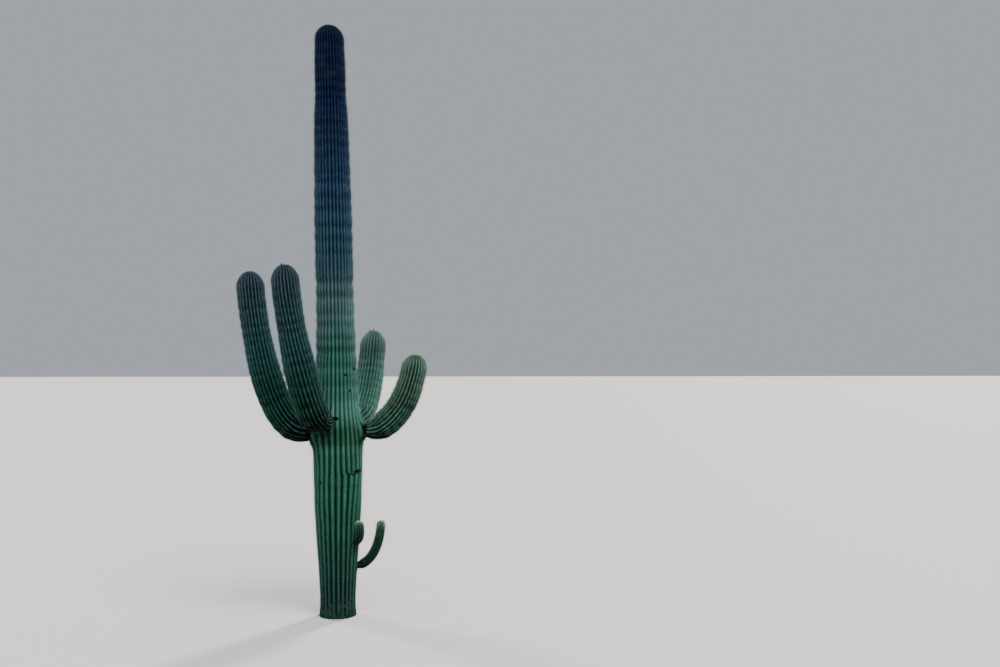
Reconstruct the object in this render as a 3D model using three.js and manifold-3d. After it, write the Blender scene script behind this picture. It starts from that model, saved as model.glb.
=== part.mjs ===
// A saguaro cactus 7.6 m tall: a pleated trunk cut flat at the ground, four big arms that bend up from it
// at about a third of its height, and two young arms low on its right. Millimetres, +Z up, with the origin
// at the centre of the flat cut. -Y is the side the cactus is seen from, and +X its right.
import * as THREE from 'three';
import { mergeVertices } from 'three/addons/utils/BufferGeometryUtils.js';
import Module from 'manifold-3d';

const wasm = await Module();
wasm.setup();

// Clear gaps: between the two halves of an arm, and round the trunk where an arm meets it. The second is
// measured along the trunk's radius, and leaves 0.3 mm square to the sloping sides of the ribs.
const SPLIT_GAP = 0.4;
const ROOT_GAP = 0.6;

// Trunk
const PLANT_HEIGHT = 7600;
const TRUNK_RIBS = 28;
const TRUNK_DOME = 180; // height of the round tip
// Crest radius at heights above the ground, between which it runs smoothly.
const TRUNK_RADII = [
  [0, 236], [150, 222], [550, 238], [940, 266], [1330, 291], [1800, 306], [2150, 314], [2420, 308],
  [2700, 279], [3000, 263], [3484, 247], [3794, 234], [5000, 236], [5750, 222], [6290, 213],
  [6680, 195], [7075, 191], [7420, 180],
];
const FOOT_LEAN = 6 / 1000; // lean towards -X from the ground up
const UPPER_LEAN = 21.4 / 1000; // further lean above the arms
const LEAN_STARTS = 2200;
const LEAN_BLEND = 300; // half of the height over which the further lean sets in
// Waists that slow years left round the trunk: height, depth and half length.
const TRUNK_WAISTS = [[3950, 5, 70], [4262, 13, 90], [4740, 5, 110], [5560, 6, 130], [6640, 5, 90]];

// Ribs
const RIB_DEPTH = 0.5; // depth of a groove, as a share of the spacing of the ribs
const NECK_RIB_SHARE = 0.35; // how much of that depth is left where an arm leaves the trunk
const NECK_LENGTH = 260; // length over which a big arm's neck swells and its ribs deepen

// The trunk swells under the root of each arm. These are a big arm's sizes, and a slimmer arm's are less.
const BIG_ARM_RADIUS = 192;
const SHOULDER_DROP = 95; // how far below the root the swelling is centred
const SHOULDER_HALF_HEIGHT = 120;
const SHOULDER_HALF_WIDTH = 190;

// An arm leaves the trunk at a height and azimuth (degrees, from +X towards +Y), heading `launch` degrees
// above level. Over `bend` millimetres it turns up towards `rise` degrees, then straightens by `curl`
// degrees more by its tip, while its azimuth drifts by `swing` degrees. `split` is where the bent part of a
// big arm ends and its upright part begins, measured along the arm from the trunk's surface. `neck`, `belly`
// and `tip` are its radii, `bellyAt` is the share of its length where it begins to slim towards the tip, and
// `shoulder` is how far the trunk swells under it.
const BIG_ARMS = [
  {
    name: 'left_arm', height: 2380, azimuth: 179, swing: 4, launch: -12, rise: 75, curl: 12, bend: 305,
    length: 2300, split: 540, neck: 136, belly: 192, bellyAt: 0.38, tip: 171, ribs: 24, shoulder: 40,
  },
  {
    name: 'front_arm', height: 2500, azimuth: -120, swing: -24, launch: -4, rise: 71, curl: 15, bend: 285,
    length: 2160, split: 520, neck: 134, belly: 192, bellyAt: 0.38, tip: 163, ribs: 24, shoulder: 26,
  },
  {
    name: 'back_arm', height: 2440, azimuth: 53, swing: 0, launch: 10, rise: 80, curl: 3, bend: 260,
    length: 1365, split: 440, neck: 130, belly: 181, bellyAt: 0.5, tip: 168, ribs: 24, shoulder: 30,
  },
  {
    name: 'right_arm', height: 2405, azimuth: -6, swing: 0, launch: -22, rise: 80, curl: 8, bend: 400,
    length: 1280, split: 520, neck: 124, belly: 174, bellyAt: 0.5, tip: 162, ribs: 24, shoulder: 40,
  },
];
const YOUNG_ARMS = [
  {
    name: 'young_arm', height: 620, azimuth: 4, swing: 0, launch: 4, rise: 90, curl: 4, bend: 262,
    length: 690, neck: 42, belly: 58, bellyAt: 0.6, tip: 55, ribs: 13, shoulder: 8,
  },
  {
    name: 'sprout', height: 945, azimuth: -36, swing: 0, launch: 12, rise: 92, curl: 0, bend: 55,
    length: 287, neck: 46, belly: 62, bellyAt: 0.5, tip: 56, ribs: 13, shoulder: 6,
  },
];
const SLIMMING = 0.3; // share of an arm's length over which it slims from belly to tip radius

// Flower buds on the crowns of two arms: which arm, bearing round its crown, tilt from its tip, and size.
const BUDS = [
  { arm: 'back_arm', bearing: 100, tilt: 6, length: 50, radius: 13 },
  { arm: 'back_arm', bearing: 40, tilt: 16, length: 46, radius: 13 },
  { arm: 'back_arm', bearing: 10, tilt: 9, length: 42, radius: 12 },
  { arm: 'front_arm', bearing: 270, tilt: 11, length: 38, radius: 12 },
];
const BUD_SUNK = 0.35; // share of a bud's length that sits in the flesh

// Spacing of the rows of facets. The trunk's are closer at its foot, its shoulders and its deepest waist:
// each pair is the height where a stretch ends, and the spacing in it.
const TRUNK_ROWS = [[300, 80], [2050, 240], [2700, 75], [4140, 240], [4400, 75], [PLANT_HEIGHT - TRUNK_DOME, 240]];
const ARM_ROW = 110;
const DOME_ROWS = 5;
const ROOT_INSIDE = 130; // how far an uncut arm reaches into the trunk before it is trimmed to it
const LINE_STEP = 5; // step of the walk along an arm's centre line
const BUD_SIDES = 8;

const degrees = (angle) => (angle * Math.PI) / 180;
const smooth = (t) => THREE.MathUtils.smoothstep(t, 0, 1);
const bump = (distance, halfWidth) => Math.exp(-((distance / halfWidth) ** 2));

// Smooth value at x through [x, value] pairs, with a cubic between each two of them.
function through(pairs, x) {
  const last = pairs.length - 1;
  let i = 0;
  while (i < last - 1 && x > pairs[i + 1][0]) i += 1;
  const slope = (k) => {
    const a = pairs[Math.max(k - 1, 0)];
    const b = pairs[Math.min(k + 1, last)];
    return (b[1] - a[1]) / (b[0] - a[0]);
  };
  const [x0, y0] = pairs[i];
  const [x1, y1] = pairs[i + 1];
  const run = x1 - x0;
  const t = THREE.MathUtils.clamp((x - x0) / run, 0, 1);
  const rest = 1 - t;
  return (
    y0 * (1 + 2 * t) * rest * rest + y1 * (3 - 2 * t) * t * t +
    slope(i) * run * t * rest * rest - slope(i + 1) * run * rest * t * t
  );
}

// Evenly spaced stations from `from` up to `to`, no further apart than `step`, without the last one.
function stations(from, to, step) {
  const count = Math.ceil((to - from) / step);
  return Array.from({ length: count }, (_, i) => from + ((to - from) * i) / count);
}

// Stations over a round tip, closer together towards its top.
function domeStations(start, height) {
  const share = (i) => Math.sin((i * Math.PI) / 2 / DOME_ROWS);
  return Array.from({ length: DOME_ROWS + 1 }, (_, i) => start + height * share(i));
}

// Share of the full radius at a place on a round tip.
const domeShare = (past, height) => Math.sqrt(Math.max(0, 1 - (Math.max(0, past) / height) ** 2));

// Radius at a bearing on a pleated stem: full on the crests of its ribs, less in the grooves between them.
function pleated(radius, ribs, bearing, share = 1) {
  const spacing = (2 * Math.PI * radius) / ribs;
  return radius - (RIB_DEPTH * share * spacing * (1 - Math.cos(ribs * bearing))) / 2;
}

// X of the trunk's middle at a height.
function trunkLean(z) {
  const past = THREE.MathUtils.clamp(z - LEAN_STARTS, -LEAN_BLEND, LEAN_BLEND);
  const knee = (past + LEAN_BLEND) ** 2 / (4 * LEAN_BLEND) + Math.max(0, z - LEAN_STARTS - LEAN_BLEND);
  return -(FOOT_LEAN * z + UPPER_LEAN * knee);
}

// Crest radius of the trunk at a height and bearing.
function trunkRadius(z, bearing) {
  const domeStart = PLANT_HEIGHT - TRUNK_DOME;
  const waists = TRUNK_WAISTS.reduce((sum, [height, depth, half]) => sum + depth * bump(z - height, half), 0);
  let radius = through(TRUNK_RADII, Math.min(z, domeStart)) - waists;
  for (const arm of [...BIG_ARMS, ...YOUNG_ARMS]) {
    const size = arm.belly / BIG_ARM_RADIUS;
    const out = degrees(arm.azimuth);
    const away = Math.atan2(Math.sin(bearing - out), Math.cos(bearing - out)) * radius;
    const below = z - arm.height + SHOULDER_DROP * size;
    radius += arm.shoulder * bump(below, SHOULDER_HALF_HEIGHT * size) * bump(away, SHOULDER_HALF_WIDTH * size);
  }
  return radius * domeShare(z - domeStart, TRUNK_DOME);
}

// The centre line of an arm. Its distance `s` is counted from the trunk's surface, and is negative inside it.
class ArmLine {
  constructor(arm) {
    this.arm = arm;
    const out = degrees(arm.azimuth);
    const reach = trunkRadius(arm.height, out) - ROOT_INSIDE;
    const drop = ROOT_INSIDE * Math.tan(degrees(arm.launch));
    const foot = new THREE.Vector3(reach * Math.cos(out), reach * Math.sin(out), arm.height - drop);
    foot.x += trunkLean(arm.height);
    this.points = [foot];
    for (let s = -ROOT_INSIDE; s < arm.length; s += LINE_STEP) {
      const step = this.heading(s + LINE_STEP / 2).multiplyScalar(LINE_STEP);
      this.points.push(step.add(this.points.at(-1)));
    }
  }

  azimuth(s) {
    return degrees(this.arm.azimuth + this.arm.swing * smooth(s / this.arm.length));
  }

  heading(s) {
    const { launch, rise, bend, curl, length } = this.arm;
    const along = Math.max(0, s);
    const turned = 1 - Math.exp(-along / bend);
    const tilt = degrees(launch + (rise - launch) * turned + curl * (along / length) ** 2);
    const azimuth = this.azimuth(s);
    const level = Math.cos(tilt);
    return new THREE.Vector3(level * Math.cos(azimuth), level * Math.sin(azimuth), Math.sin(tilt));
  }

  pointAt(s) {
    const steps = (s + ROOT_INSIDE) / LINE_STEP;
    const low = Math.min(Math.floor(steps), this.points.length - 2);
    return this.points[low].clone().lerp(this.points[low + 1], steps - low);
  }

  // The heading, the level direction across it, and the third direction of their right-handed frame.
  frame(s) {
    const heading = this.heading(s);
    const azimuth = this.azimuth(s);
    const side = new THREE.Vector3(-Math.sin(azimuth), Math.cos(azimuth), 0);
    return { side, inward: new THREE.Vector3().crossVectors(heading, side), heading };
  }
}

// How far an arm's neck has swelled at a distance along it, from 0 at the trunk to 1.
const swelled = (arm, s) => smooth((s * BIG_ARM_RADIUS) / (NECK_LENGTH * arm.belly));

// Crest radius of an arm at a distance along it.
function armRadius(arm, s) {
  const full = arm.neck + (arm.belly - arm.neck) * swelled(arm, s);
  const slimmed = (arm.belly - arm.tip) * smooth((s / arm.length - arm.bellyAt) / SLIMMING);
  return (full - slimmed) * domeShare(s - (arm.length - arm.tip), arm.tip);
}

// A closed body with a ring of points at each station, which `place` carries from the station, a bearing
// and 0 or 1 for the axis or the skin to their real positions.
function pleatedBody(rows, sides, place) {
  const outline = [new THREE.Vector2(0, rows[0]), ...rows.map((row) => new THREE.Vector2(1, row))];
  outline.at(-1).x = 0;
  const geometry = new THREE.LatheGeometry(outline, sides);
  const position = geometry.getAttribute('position');
  const point = new THREE.Vector3();
  for (let i = 0; i < position.count; i += 1) {
    point.fromBufferAttribute(position, i);
    const skin = Math.round(Math.hypot(point.x, point.z));
    const placed = place(point.y, Math.atan2(point.x, point.z), skin);
    position.setXYZ(i, placed.x, placed.y, placed.z);
  }
  return geometry;
}

// The trunk's geometry, or with `grown` a tool that much larger, which trims what meets the trunk.
function trunkGeometry(grown = 0) {
  const rows = [];
  TRUNK_ROWS.reduce((from, [to, step]) => {
    rows.push(...stations(from, to, step));
    return to;
  }, 0);
  rows.push(...domeStations(PLANT_HEIGHT - TRUNK_DOME, TRUNK_DOME));
  return pleatedBody(rows, TRUNK_RIBS * 2, (z, bearing, skin) => {
    const radius = skin * (pleated(trunkRadius(z, bearing), TRUNK_RIBS, bearing) + grown);
    return new THREE.Vector3(trunkLean(z) + radius * Math.cos(bearing), radius * Math.sin(bearing), z);
  });
}

// One length of an arm, from distance `from` to `to`, with a round tip where `to` is the arm's end.
function armGeometry(line, from, to) {
  const { arm } = line;
  const domeStart = arm.length - arm.tip;
  const rows = to < arm.length
    ? [...stations(from, to, ARM_ROW), to, to]
    : [...stations(from, domeStart, ARM_ROW), ...domeStations(domeStart, arm.tip)];
  return pleatedBody(rows, arm.ribs * 2, (s, bearing, skin) => {
    const { side, inward } = line.frame(s);
    const ribShare = NECK_RIB_SHARE + (1 - NECK_RIB_SHARE) * swelled(arm, s);
    const radius = skin * pleated(armRadius(arm, s), arm.ribs, bearing, ribShare);
    const across = side.multiplyScalar(radius * Math.cos(bearing));
    return line.pointAt(s).add(across).addScaledVector(inward, radius * Math.sin(bearing));
  });
}

// A bud that stands out of the crown of an arm.
function budGeometry(line, bud) {
  const { arm } = line;
  const crown = line.pointAt(arm.length - arm.tip);
  const { side, inward, heading } = line.frame(arm.length);
  const bearing = degrees(bud.bearing);
  const tilt = degrees(bud.tilt);
  const out = side.multiplyScalar(Math.cos(bearing)).addScaledVector(inward, Math.sin(bearing));
  const axis = heading.multiplyScalar(Math.cos(tilt)).addScaledVector(out, Math.sin(tilt));
  const geometry = new THREE.SphereGeometry(1, BUD_SIDES, BUD_SIDES - 2);
  geometry.scale(bud.radius, bud.length / 2, bud.radius);
  geometry.translate(0, arm.tip + bud.length * (0.5 - BUD_SUNK), 0);
  geometry.applyQuaternion(new THREE.Quaternion().setFromUnitVectors(new THREE.Vector3(0, 1, 0), axis));
  return geometry.translate(crown.x, crown.y, crown.z);
}

// A geometry as a solid that can be joined and cut, and back.
function solidOf(geometry) {
  const bare = geometry.clone();
  bare.deleteAttribute('normal');
  bare.deleteAttribute('uv');
  const merged = mergeVertices(bare, 1e-3);
  return new wasm.Manifold(new wasm.Mesh({
    numProp: 3,
    vertProperties: merged.getAttribute('position').array,
    triVerts: new Uint32Array(merged.index.array),
  }));
}

function geometryOf(solid) {
  const mesh = solid.getMesh();
  const geometry = new THREE.BufferGeometry();
  geometry.setAttribute('position', new THREE.BufferAttribute(mesh.vertProperties, 3));
  geometry.setIndex(new THREE.BufferAttribute(mesh.triVerts, 1));
  geometry.computeVertexNormals();
  return geometry;
}

// Waxy flesh of the trunk, the arms and the young arms
const TRUNK_FLESH = { color: 0x3c5f50, roughness: 0.7, metalness: 0 };
const ARM_FLESH = { color: 0x35564a, roughness: 0.7, metalness: 0 };
const YOUNG_FLESH = { color: 0x476b52, roughness: 0.6, metalness: 0 };

function named(name, geometry, flesh) {
  const mesh = new THREE.Mesh(geometry, new THREE.MeshStandardMaterial(flesh));
  mesh.name = name;
  return mesh;
}

const trunkTool = solidOf(trunkGeometry(ROOT_GAP));

// The bent part of an arm, from the trunk's surface to the split, and its upright part above the split.
function bigArm(arm) {
  const line = new ArmLine(arm);
  const elbow = solidOf(armGeometry(line, -ROOT_INSIDE, arm.split - SPLIT_GAP)).subtract(trunkTool);
  const buds = BUDS.filter((bud) => bud.arm === arm.name).map((bud) => solidOf(budGeometry(line, bud)));
  const upright = buds.reduce((whole, bud) => whole.add(bud), solidOf(armGeometry(line, arm.split, arm.length)));
  return [
    named(`${arm.name}_elbow`, geometryOf(elbow), ARM_FLESH),
    named(`${arm.name}_upright`, geometryOf(upright), ARM_FLESH),
  ];
}

function youngArm(arm) {
  const line = new ArmLine(arm);
  const whole = solidOf(armGeometry(line, -ROOT_INSIDE, arm.length)).subtract(trunkTool);
  return named(arm.name, geometryOf(whole), YOUNG_FLESH);
}

const saguaro = new THREE.Group();
saguaro.add(named('trunk', trunkGeometry(), TRUNK_FLESH));
for (const arm of BIG_ARMS) saguaro.add(...bigArm(arm));
for (const arm of YOUNG_ARMS) saguaro.add(youngArm(arm));

export default saguaro;
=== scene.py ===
"""A saguaro cactus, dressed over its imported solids.

Every limb is one skin: a grid of points whose columns follow the ribs and whose rows follow the middle of the
limb. Areoles sit along the crests of the ribs, each a felt pad under a star of spines, and those of a limb
are joined into a few meshes. Lengths are metres, angles are degrees unless a note says radians, +Z is up, and
-Y is the side that is seen.
"""
import logging
import math
from dataclasses import dataclass, field
from enum import Enum

import bpy
import numpy as np
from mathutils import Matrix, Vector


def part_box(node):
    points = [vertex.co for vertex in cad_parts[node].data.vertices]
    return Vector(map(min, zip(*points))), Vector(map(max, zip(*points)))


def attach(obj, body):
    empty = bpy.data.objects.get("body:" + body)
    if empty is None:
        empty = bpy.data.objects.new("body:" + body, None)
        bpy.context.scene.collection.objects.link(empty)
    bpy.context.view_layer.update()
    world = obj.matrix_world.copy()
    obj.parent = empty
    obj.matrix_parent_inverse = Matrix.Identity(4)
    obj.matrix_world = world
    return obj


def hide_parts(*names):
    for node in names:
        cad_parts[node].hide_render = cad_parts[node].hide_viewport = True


# Short names for the types that come up most
Array = np.ndarray
Random = np.random.Generator
Socket = bpy.types.NodeSocket

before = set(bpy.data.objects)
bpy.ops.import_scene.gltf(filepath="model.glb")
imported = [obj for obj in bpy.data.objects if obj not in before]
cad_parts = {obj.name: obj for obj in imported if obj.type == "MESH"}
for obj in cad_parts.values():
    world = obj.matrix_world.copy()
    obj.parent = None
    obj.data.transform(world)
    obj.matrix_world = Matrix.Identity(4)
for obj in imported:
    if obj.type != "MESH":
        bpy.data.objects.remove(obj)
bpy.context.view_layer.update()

LOG = logging.getLogger("saguaro")
BODY = "root"
SEED = 1177

# Sizes of the trunk, among them its radius at a number of heights, and the step of its rows up to a height
PLANT_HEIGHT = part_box("trunk")[1].z
TRUNK_DOME = 0.180
TRUNK_RADII = (
    (0, 0.236), (0.150, 0.222), (0.550, 0.238), (0.940, 0.266), (1.330, 0.291), (1.800, 0.306),
    (2.150, 0.314), (2.420, 0.308), (2.700, 0.279), (3.000, 0.263), (3.484, 0.247), (3.794, 0.234),
    (5.000, 0.236), (5.750, 0.222), (6.290, 0.213), (6.680, 0.195), (7.075, 0.191), (7.420, 0.180),
)
FOOT_LEAN = 6 / 1000
UPPER_LEAN = 21.4 / 1000
LEAN_STARTS = 2.200
LEAN_BLEND = 0.300
TRUNK_CUT = 3.373
TRUNK_ROOT_RADIUS = 0.308
TRUNK_ROWS = ((2.000, 0.045), (2.900, 0.030), (TRUNK_CUT, 0.024), (math.inf, 0.020))
FOOT_DETAIL = (0.040, 0.040, 0.016)

# Sizes that the arms share
BIG_ARM_RADIUS = 0.192
SHOULDER_DROP = 0.095
SHOULDER_HALF_HEIGHT = 0.120
SHOULDER_HALF_WIDTH = 0.190
NECK_RIB_SHARE = 0.35
SLIMMING = 0.3
ROOT_INSIDE = 0.130
LINE_STEP = 0.005
ARM_ROW = 0.020
YOUNG_ARM_ROW = 0.012
LATE_RIB_EVERY = 3
LATE_RIB_FROM = (0.03, 0.22)
LATE_RIB_TAPER = 0.16
HELD_STRETCH = (-0.06, 0.30, 0.02)
HELD_SHARE = 0.97
SPINE_CLEARANCE = 0.004

# The rings of slow years on the arms, which are uneven round the arm and wander along it
RING_DEPTH = 0.007
RING_HALF = 0.030
RING_WANDER = 0.008
RING_BENDS = 3
RING_PATCHES = 0.45
RING_PATCH_COUNT = 5
RING_SWELL = 0.0045

# The collar of flesh round the root of each big arm, in radii of the arm's neck
COLLAR_RISE = 0.020
COLLAR_AT = 1.25
COLLAR_HALF = 0.32

# Painted shade in the nooks at the arms' roots and on skin that faces the ground, and painted shadow under
# the arms, in radii of the arm's neck on the trunk
NOOK_SHADE = 1.3
NOOK_FADE = 0.045
NOOK_LIT_SHARE = 0.65
NOOK_LIT_FROM = 0.35
NOOK_REACH = 1.45
NOOK_EDGE = 0.40
BENEATH_SHADE = 0.9
BENEATH_HALF = 1.3
BENEATH_FROM = 1.4
BENEATH_FADE = 2.8
DOWNWARD_FULL = 0.85

# Cork at the trunk's foot and round the arms' roots
FOOT_CORK = 0.7
FOOT_CORK_HEIGHT = 0.45
ROOT_CORK = 0.3
ROOT_CORK_REACH = 1.16
ROOT_CORK_EDGE = 0.2
ARM_CORK = 0.2
ARM_CORK_REACH = 0.05
ARM_CORK_EDGE = 0.07

# Edges of the trunk's scars, as shares of their half width and height. The floor of a scar lies lower than
# its own depth by SCAR_SKIN, and from the depth SCAR_CORKED_FROM on it is wholly dark and corky, the dark
# being partly painted shade of the hollow.
SCAR_RIM = 1.15
SCAR_SLOPE = 0.45
SCAR_LIP_AT = 1.4
SCAR_LIP_HALF = 0.28
SCAR_SKIN = 0.012
SCAR_CORK_REACH = 1.75
SCAR_CORK_EDGE = 0.5
SCAR_CORKED_FROM = 0.035
SCAR_DARK_REACH = 1.1
SCAR_DARK_EDGE = 0.4
SCAR_BARE_REACH = 1.3

# Numbers that each skin keeps at its points, for its finish to read; slant and under say where shade is
# painted
SKIN_LAYERS = ("crest", "cork", "wound", "beads", "reach", "slant", "under")
SLANT_LIMIT = 0.25
SLANT_STEP = 0.004
MAP_EDGE = 0.02

# Steps and counts with which limbs are measured
HEADING_STEP = 1e-3
BODY_STATIONS = 600
DOME_STATIONS = 200
NO_LENGTH = 1e-12

# Areoles
AREOLE_SPACING = 0.024
AREOLE_JITTER = 0.0012
AREOLE_HALF = 0.003
AREOLE_ACROSS = (0.44, 0.5, 0.56)
AREOLE_FROM_TIP = 1e-4
LEAST_RIB_FOR_AREOLES = 0.55
TIP_SPACING_SHARE = 0.42
TIP_ZONE = 0.25
LOWEST_AREOLE = 0.050
WEAR_HEIGHT = 1.0
WEAR_FADE = 0.9
FACE_LIMIT = 195_000


def smooth(share: Array | float) -> Array:
    """Eases a share from 0 to 1.

    Args:
        share: Any number, of which the part from 0 to 1 counts.

    Returns:
        The eased share.
    """
    held = np.clip(share, 0.0, 1.0)
    return held * held * (3 - 2 * held)


def bump(distance: Array | float, half: float) -> Array:
    """A round swelling of height 1.

    Args:
        distance: How far a place is from the middle.
        half: The distance over which it falls to about a third.

    Returns:
        The swelling's height at the place.
    """
    return np.exp(-((distance / half) ** 2))


def through(pairs: tuple[tuple[float, float], ...], x: Array) -> Array:
    """Runs a smooth line through pairs of place and value.

    Args:
        pairs: Places in rising order, each with its value.
        x: Places to read the line at.

    Returns:
        The line's value at each place.
    """
    places, values = np.array(pairs, float).T
    rises = np.diff(values) / np.diff(places)
    across = (values[2:] - values[:-2]) / (places[2:] - places[:-2])
    slopes = np.concatenate([rises[:1], across, rises[-1:]])
    low = np.clip(np.searchsorted(places, x, side="right") - 1, 0, len(places) - 2)
    run = places[low + 1] - places[low]
    t = np.clip((x - places[low]) / run, 0, 1)
    rest = 1 - t
    ends = values[low] * (1 + 2 * t) * rest**2 + values[low + 1] * (3 - 2 * t) * t**2
    return ends + slopes[low] * run * t * rest**2 - slopes[low + 1] * run * rest * t**2


def turn_between(bearing: Array, other: float) -> Array:
    """The signed angle from one bearing to others.

    Args:
        bearing: Bearings in radians.
        other: The bearing in radians that they are measured from.

    Returns:
        Angles between -pi and pi.
    """
    return np.arctan2(np.sin(bearing - other), np.cos(bearing - other))


def unit(vectors: Array) -> Array:
    """Scales vectors to length 1.

    Args:
        vectors: Vectors along the last axis.

    Returns:
        The same directions at length 1.
    """
    length = np.linalg.norm(vectors, axis=-1, keepdims=True)
    return vectors / np.maximum(length, NO_LENGTH)


def linear(colour: tuple[int, int, int]) -> tuple[float, float, float, float]:
    """Turns a screen colour into the light values that shaders use, by the usual curve of screens.

    Args:
        colour: Red, green and blue from 0 to 255.

    Returns:
        Linear red, green and blue, and an alpha of 1.
    """
    shares = [c / 255 for c in colour]
    light = [s / 12.92 if s <= 0.04045 else ((s + 0.055) / 1.055) ** 2.4 for s in shares]
    return (light[0], light[1], light[2], 1.0)


def ring_faces(rows: int, columns: int) -> tuple[Array, Array]:
    """Joins rows of points, each a closed ring, by faces of four corners.

    Args:
        rows: Number of rings.
        columns: Number of points in each.

    Returns:
        The points' numbers by row and column, and the faces.
    """
    number = np.arange(rows * columns).reshape(rows, columns)
    after = np.roll(number, -1, axis=1)
    return number, np.stack([number[:-1], after[:-1], after[1:], number[1:]], axis=-1).reshape(-1, 4)


def joined_mesh(
    name: str, points: Array, faces: Array, finish: bpy.types.Material, shade_smooth: bool = True
) -> bpy.types.Object:
    """Makes one object of many faces that all have as many corners.

    Args:
        name: Name of the piece.
        points: Points as rows of x, y, z.
        faces: Corner numbers, one face to a row.
        finish: Material of the piece.
        shade_smooth: Whether the faces are shaded as one curved surface.

    Returns:
        The new object, linked to the scene.
    """
    mesh = bpy.data.meshes.new(name)
    corners = faces.shape[1]
    mesh.vertices.add(len(points))
    mesh.vertices.foreach_set("co", points.astype(np.float32).ravel())
    mesh.loops.add(faces.size)
    mesh.loops.foreach_set("vertex_index", faces.astype(np.int32).ravel())
    mesh.polygons.add(len(faces))
    mesh.polygons.foreach_set("loop_start", np.arange(len(faces), dtype=np.int32) * corners)
    mesh.polygons.foreach_set("use_smooth", np.full(len(faces), shade_smooth))
    mesh.update(calc_edges=True)
    mesh.materials.append(finish)
    piece = bpy.data.objects.new(name, mesh)
    bpy.context.scene.collection.objects.link(piece)
    return piece


@dataclass(frozen=True)
class Noise:
    """A cloudy noise.

    Attributes:
        scale: Number of clouds to a metre.
        detail: Number of finer layers.
        rough: How strong the finer layers are.
        stretch: Factors for x, y and z by which the place is scaled first.
    """

    scale: float
    detail: float
    rough: float
    stretch: tuple[float, float, float] | None = None


class Wiring:
    """The nodes of one material, with short ways to add and join them."""

    # Numbers of the Mix node's sockets for colours
    MIX_FIRST = 6
    MIX_SECOND = 7
    MIX_RESULT = 2

    def __init__(self, name: str, roughness: float, gloss: float = 0.5) -> None:
        """Starts a material with a surface shader.

        Args:
            name: Name of the material.
            roughness: Roughness of the surface.
            gloss: Strength of its plain reflection.
        """
        self.material = bpy.data.materials.new(name)
        self.material.use_nodes = True
        self.nodes = self.material.node_tree.nodes
        self.links = self.material.node_tree.links
        self.surface = self.nodes["Principled BSDF"]
        self.surface.inputs["Roughness"].default_value = roughness
        self.surface.inputs["Specular IOR Level"].default_value = gloss

    def put(self, value: object, socket: Socket) -> None:
        """Joins a node's output to a socket, or sets a plain value there.

        Args:
            value: An output socket, a number or a colour.
            socket: The input that takes it.
        """
        if isinstance(value, Socket):
            self.links.new(value, socket)
        else:
            socket.default_value = value

    def add(self, kind: str, inputs: dict[str | int, object], **settings: object) -> bpy.types.Node:
        """Adds a node.

        Args:
            kind: The node's type, without its leading words.
            inputs: Values or outputs for its inputs, by name or number.
            **settings: Options of the node.

        Returns:
            The new node.
        """
        node = self.nodes.new("ShaderNode" + kind)
        for option, value in settings.items():
            setattr(node, option, value)
        for key, value in inputs.items():
            self.put(value, node.inputs[key])
        return node

    def attribute(self, name: str) -> Socket:
        """Reads a number that is kept at each point of the mesh."""
        return self.add("Attribute", {}, attribute_name=name).outputs["Fac"]

    def math(self, operation: str, *values: object) -> Socket:
        """Works out a sum, product or the like of up to three numbers.

        Args:
            operation: The operation, such as ADD.
            *values: The numbers, each an output or a plain value.

        Returns:
            The result.
        """
        return self.add("Math", dict(enumerate(values)), operation=operation).outputs[0]

    def ease(self, value: object, low: float, high: float, to_low: float = 0, to_high: float = 1) -> Socket:
        """Maps a range of numbers smoothly to another.

        Args:
            value: The number to map.
            low: Where the range starts.
            high: Where it ends.
            to_low: Result at its start.
            to_high: Result at its end.

        Returns:
            The mapped number.
        """
        inputs = {0: value, 1: low, 2: high, 3: to_low, 4: to_high}
        return self.add("MapRange", inputs, interpolation_type="SMOOTHSTEP").outputs[0]

    def mix(self, share: object, first: object, second: object, blend: str = "MIX") -> Socket:
        """Mixes two colours.

        Args:
            share: How much of the second colour shows.
            first: The first colour.
            second: The second colour.
            blend: How the second is laid over the first.

        Returns:
            The mixed colour.
        """
        inputs = {0: share, self.MIX_FIRST: first, self.MIX_SECOND: second}
        return self.add("Mix", inputs, data_type="RGBA", blend_type=blend).outputs[self.MIX_RESULT]

    def ramp(self, value: object, stops: list[tuple[float, tuple[int, int, int]]]) -> Socket:
        """Runs a colour through stops.

        Args:
            value: The number that picks the colour, from 0 to 1.
            stops: Numbers in rising order, each with its screen colour.

        Returns:
            The colour.
        """
        node = self.add("ValToRGB", {0: value})
        elements = node.color_ramp.elements
        while len(elements) < len(stops):
            elements.new(1.0)
        for element, (at, colour) in zip(elements, stops):
            element.position = at
            element.color = linear(colour)
        return node.outputs[0]

    def noise(self, place: object, kind: Noise) -> Socket:
        """Reads cloudy noise.

        Args:
            place: Where it is read.
            kind: The noise.

        Returns:
            The noise, from 0 to 1.
        """
        if kind.stretch:
            place = self.stretched(place, kind.stretch)
        inputs = {"Vector": place, "Scale": kind.scale, "Detail": kind.detail, "Roughness": kind.rough}
        return self.add("TexNoise", inputs).outputs["Fac"]

    def stretched(self, place: object, scale: tuple[float, float, float]) -> Socket:
        """Scales a place by a factor for each axis.

        Args:
            place: The place.
            scale: Factors for x, y and z.

        Returns:
            The scaled place.
        """
        return self.add("Mapping", {"Vector": place, "Scale": scale}).outputs[0]

    def ridge(self, height: object, depth: float, strength: float) -> None:
        """Lets a height show as fine relief on the surface.

        Args:
            height: The height, from 0 to 1.
            depth: Its real depth.
            strength: How strongly it shows.
        """
        node = self.add("Bump", {"Height": height, "Distance": depth, "Strength": strength})
        self.links.new(node.outputs[0], self.surface.inputs["Normal"])


@dataclass(frozen=True)
class Tint:
    """The skin's colours at one share of a limb's length: in the grooves, where their dark is partly painted
    shade, on the flanks and on the crests.
    """

    at: float
    groove: tuple[int, int, int]
    flank: tuple[int, int, int]
    crest: tuple[int, int, int]


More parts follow.
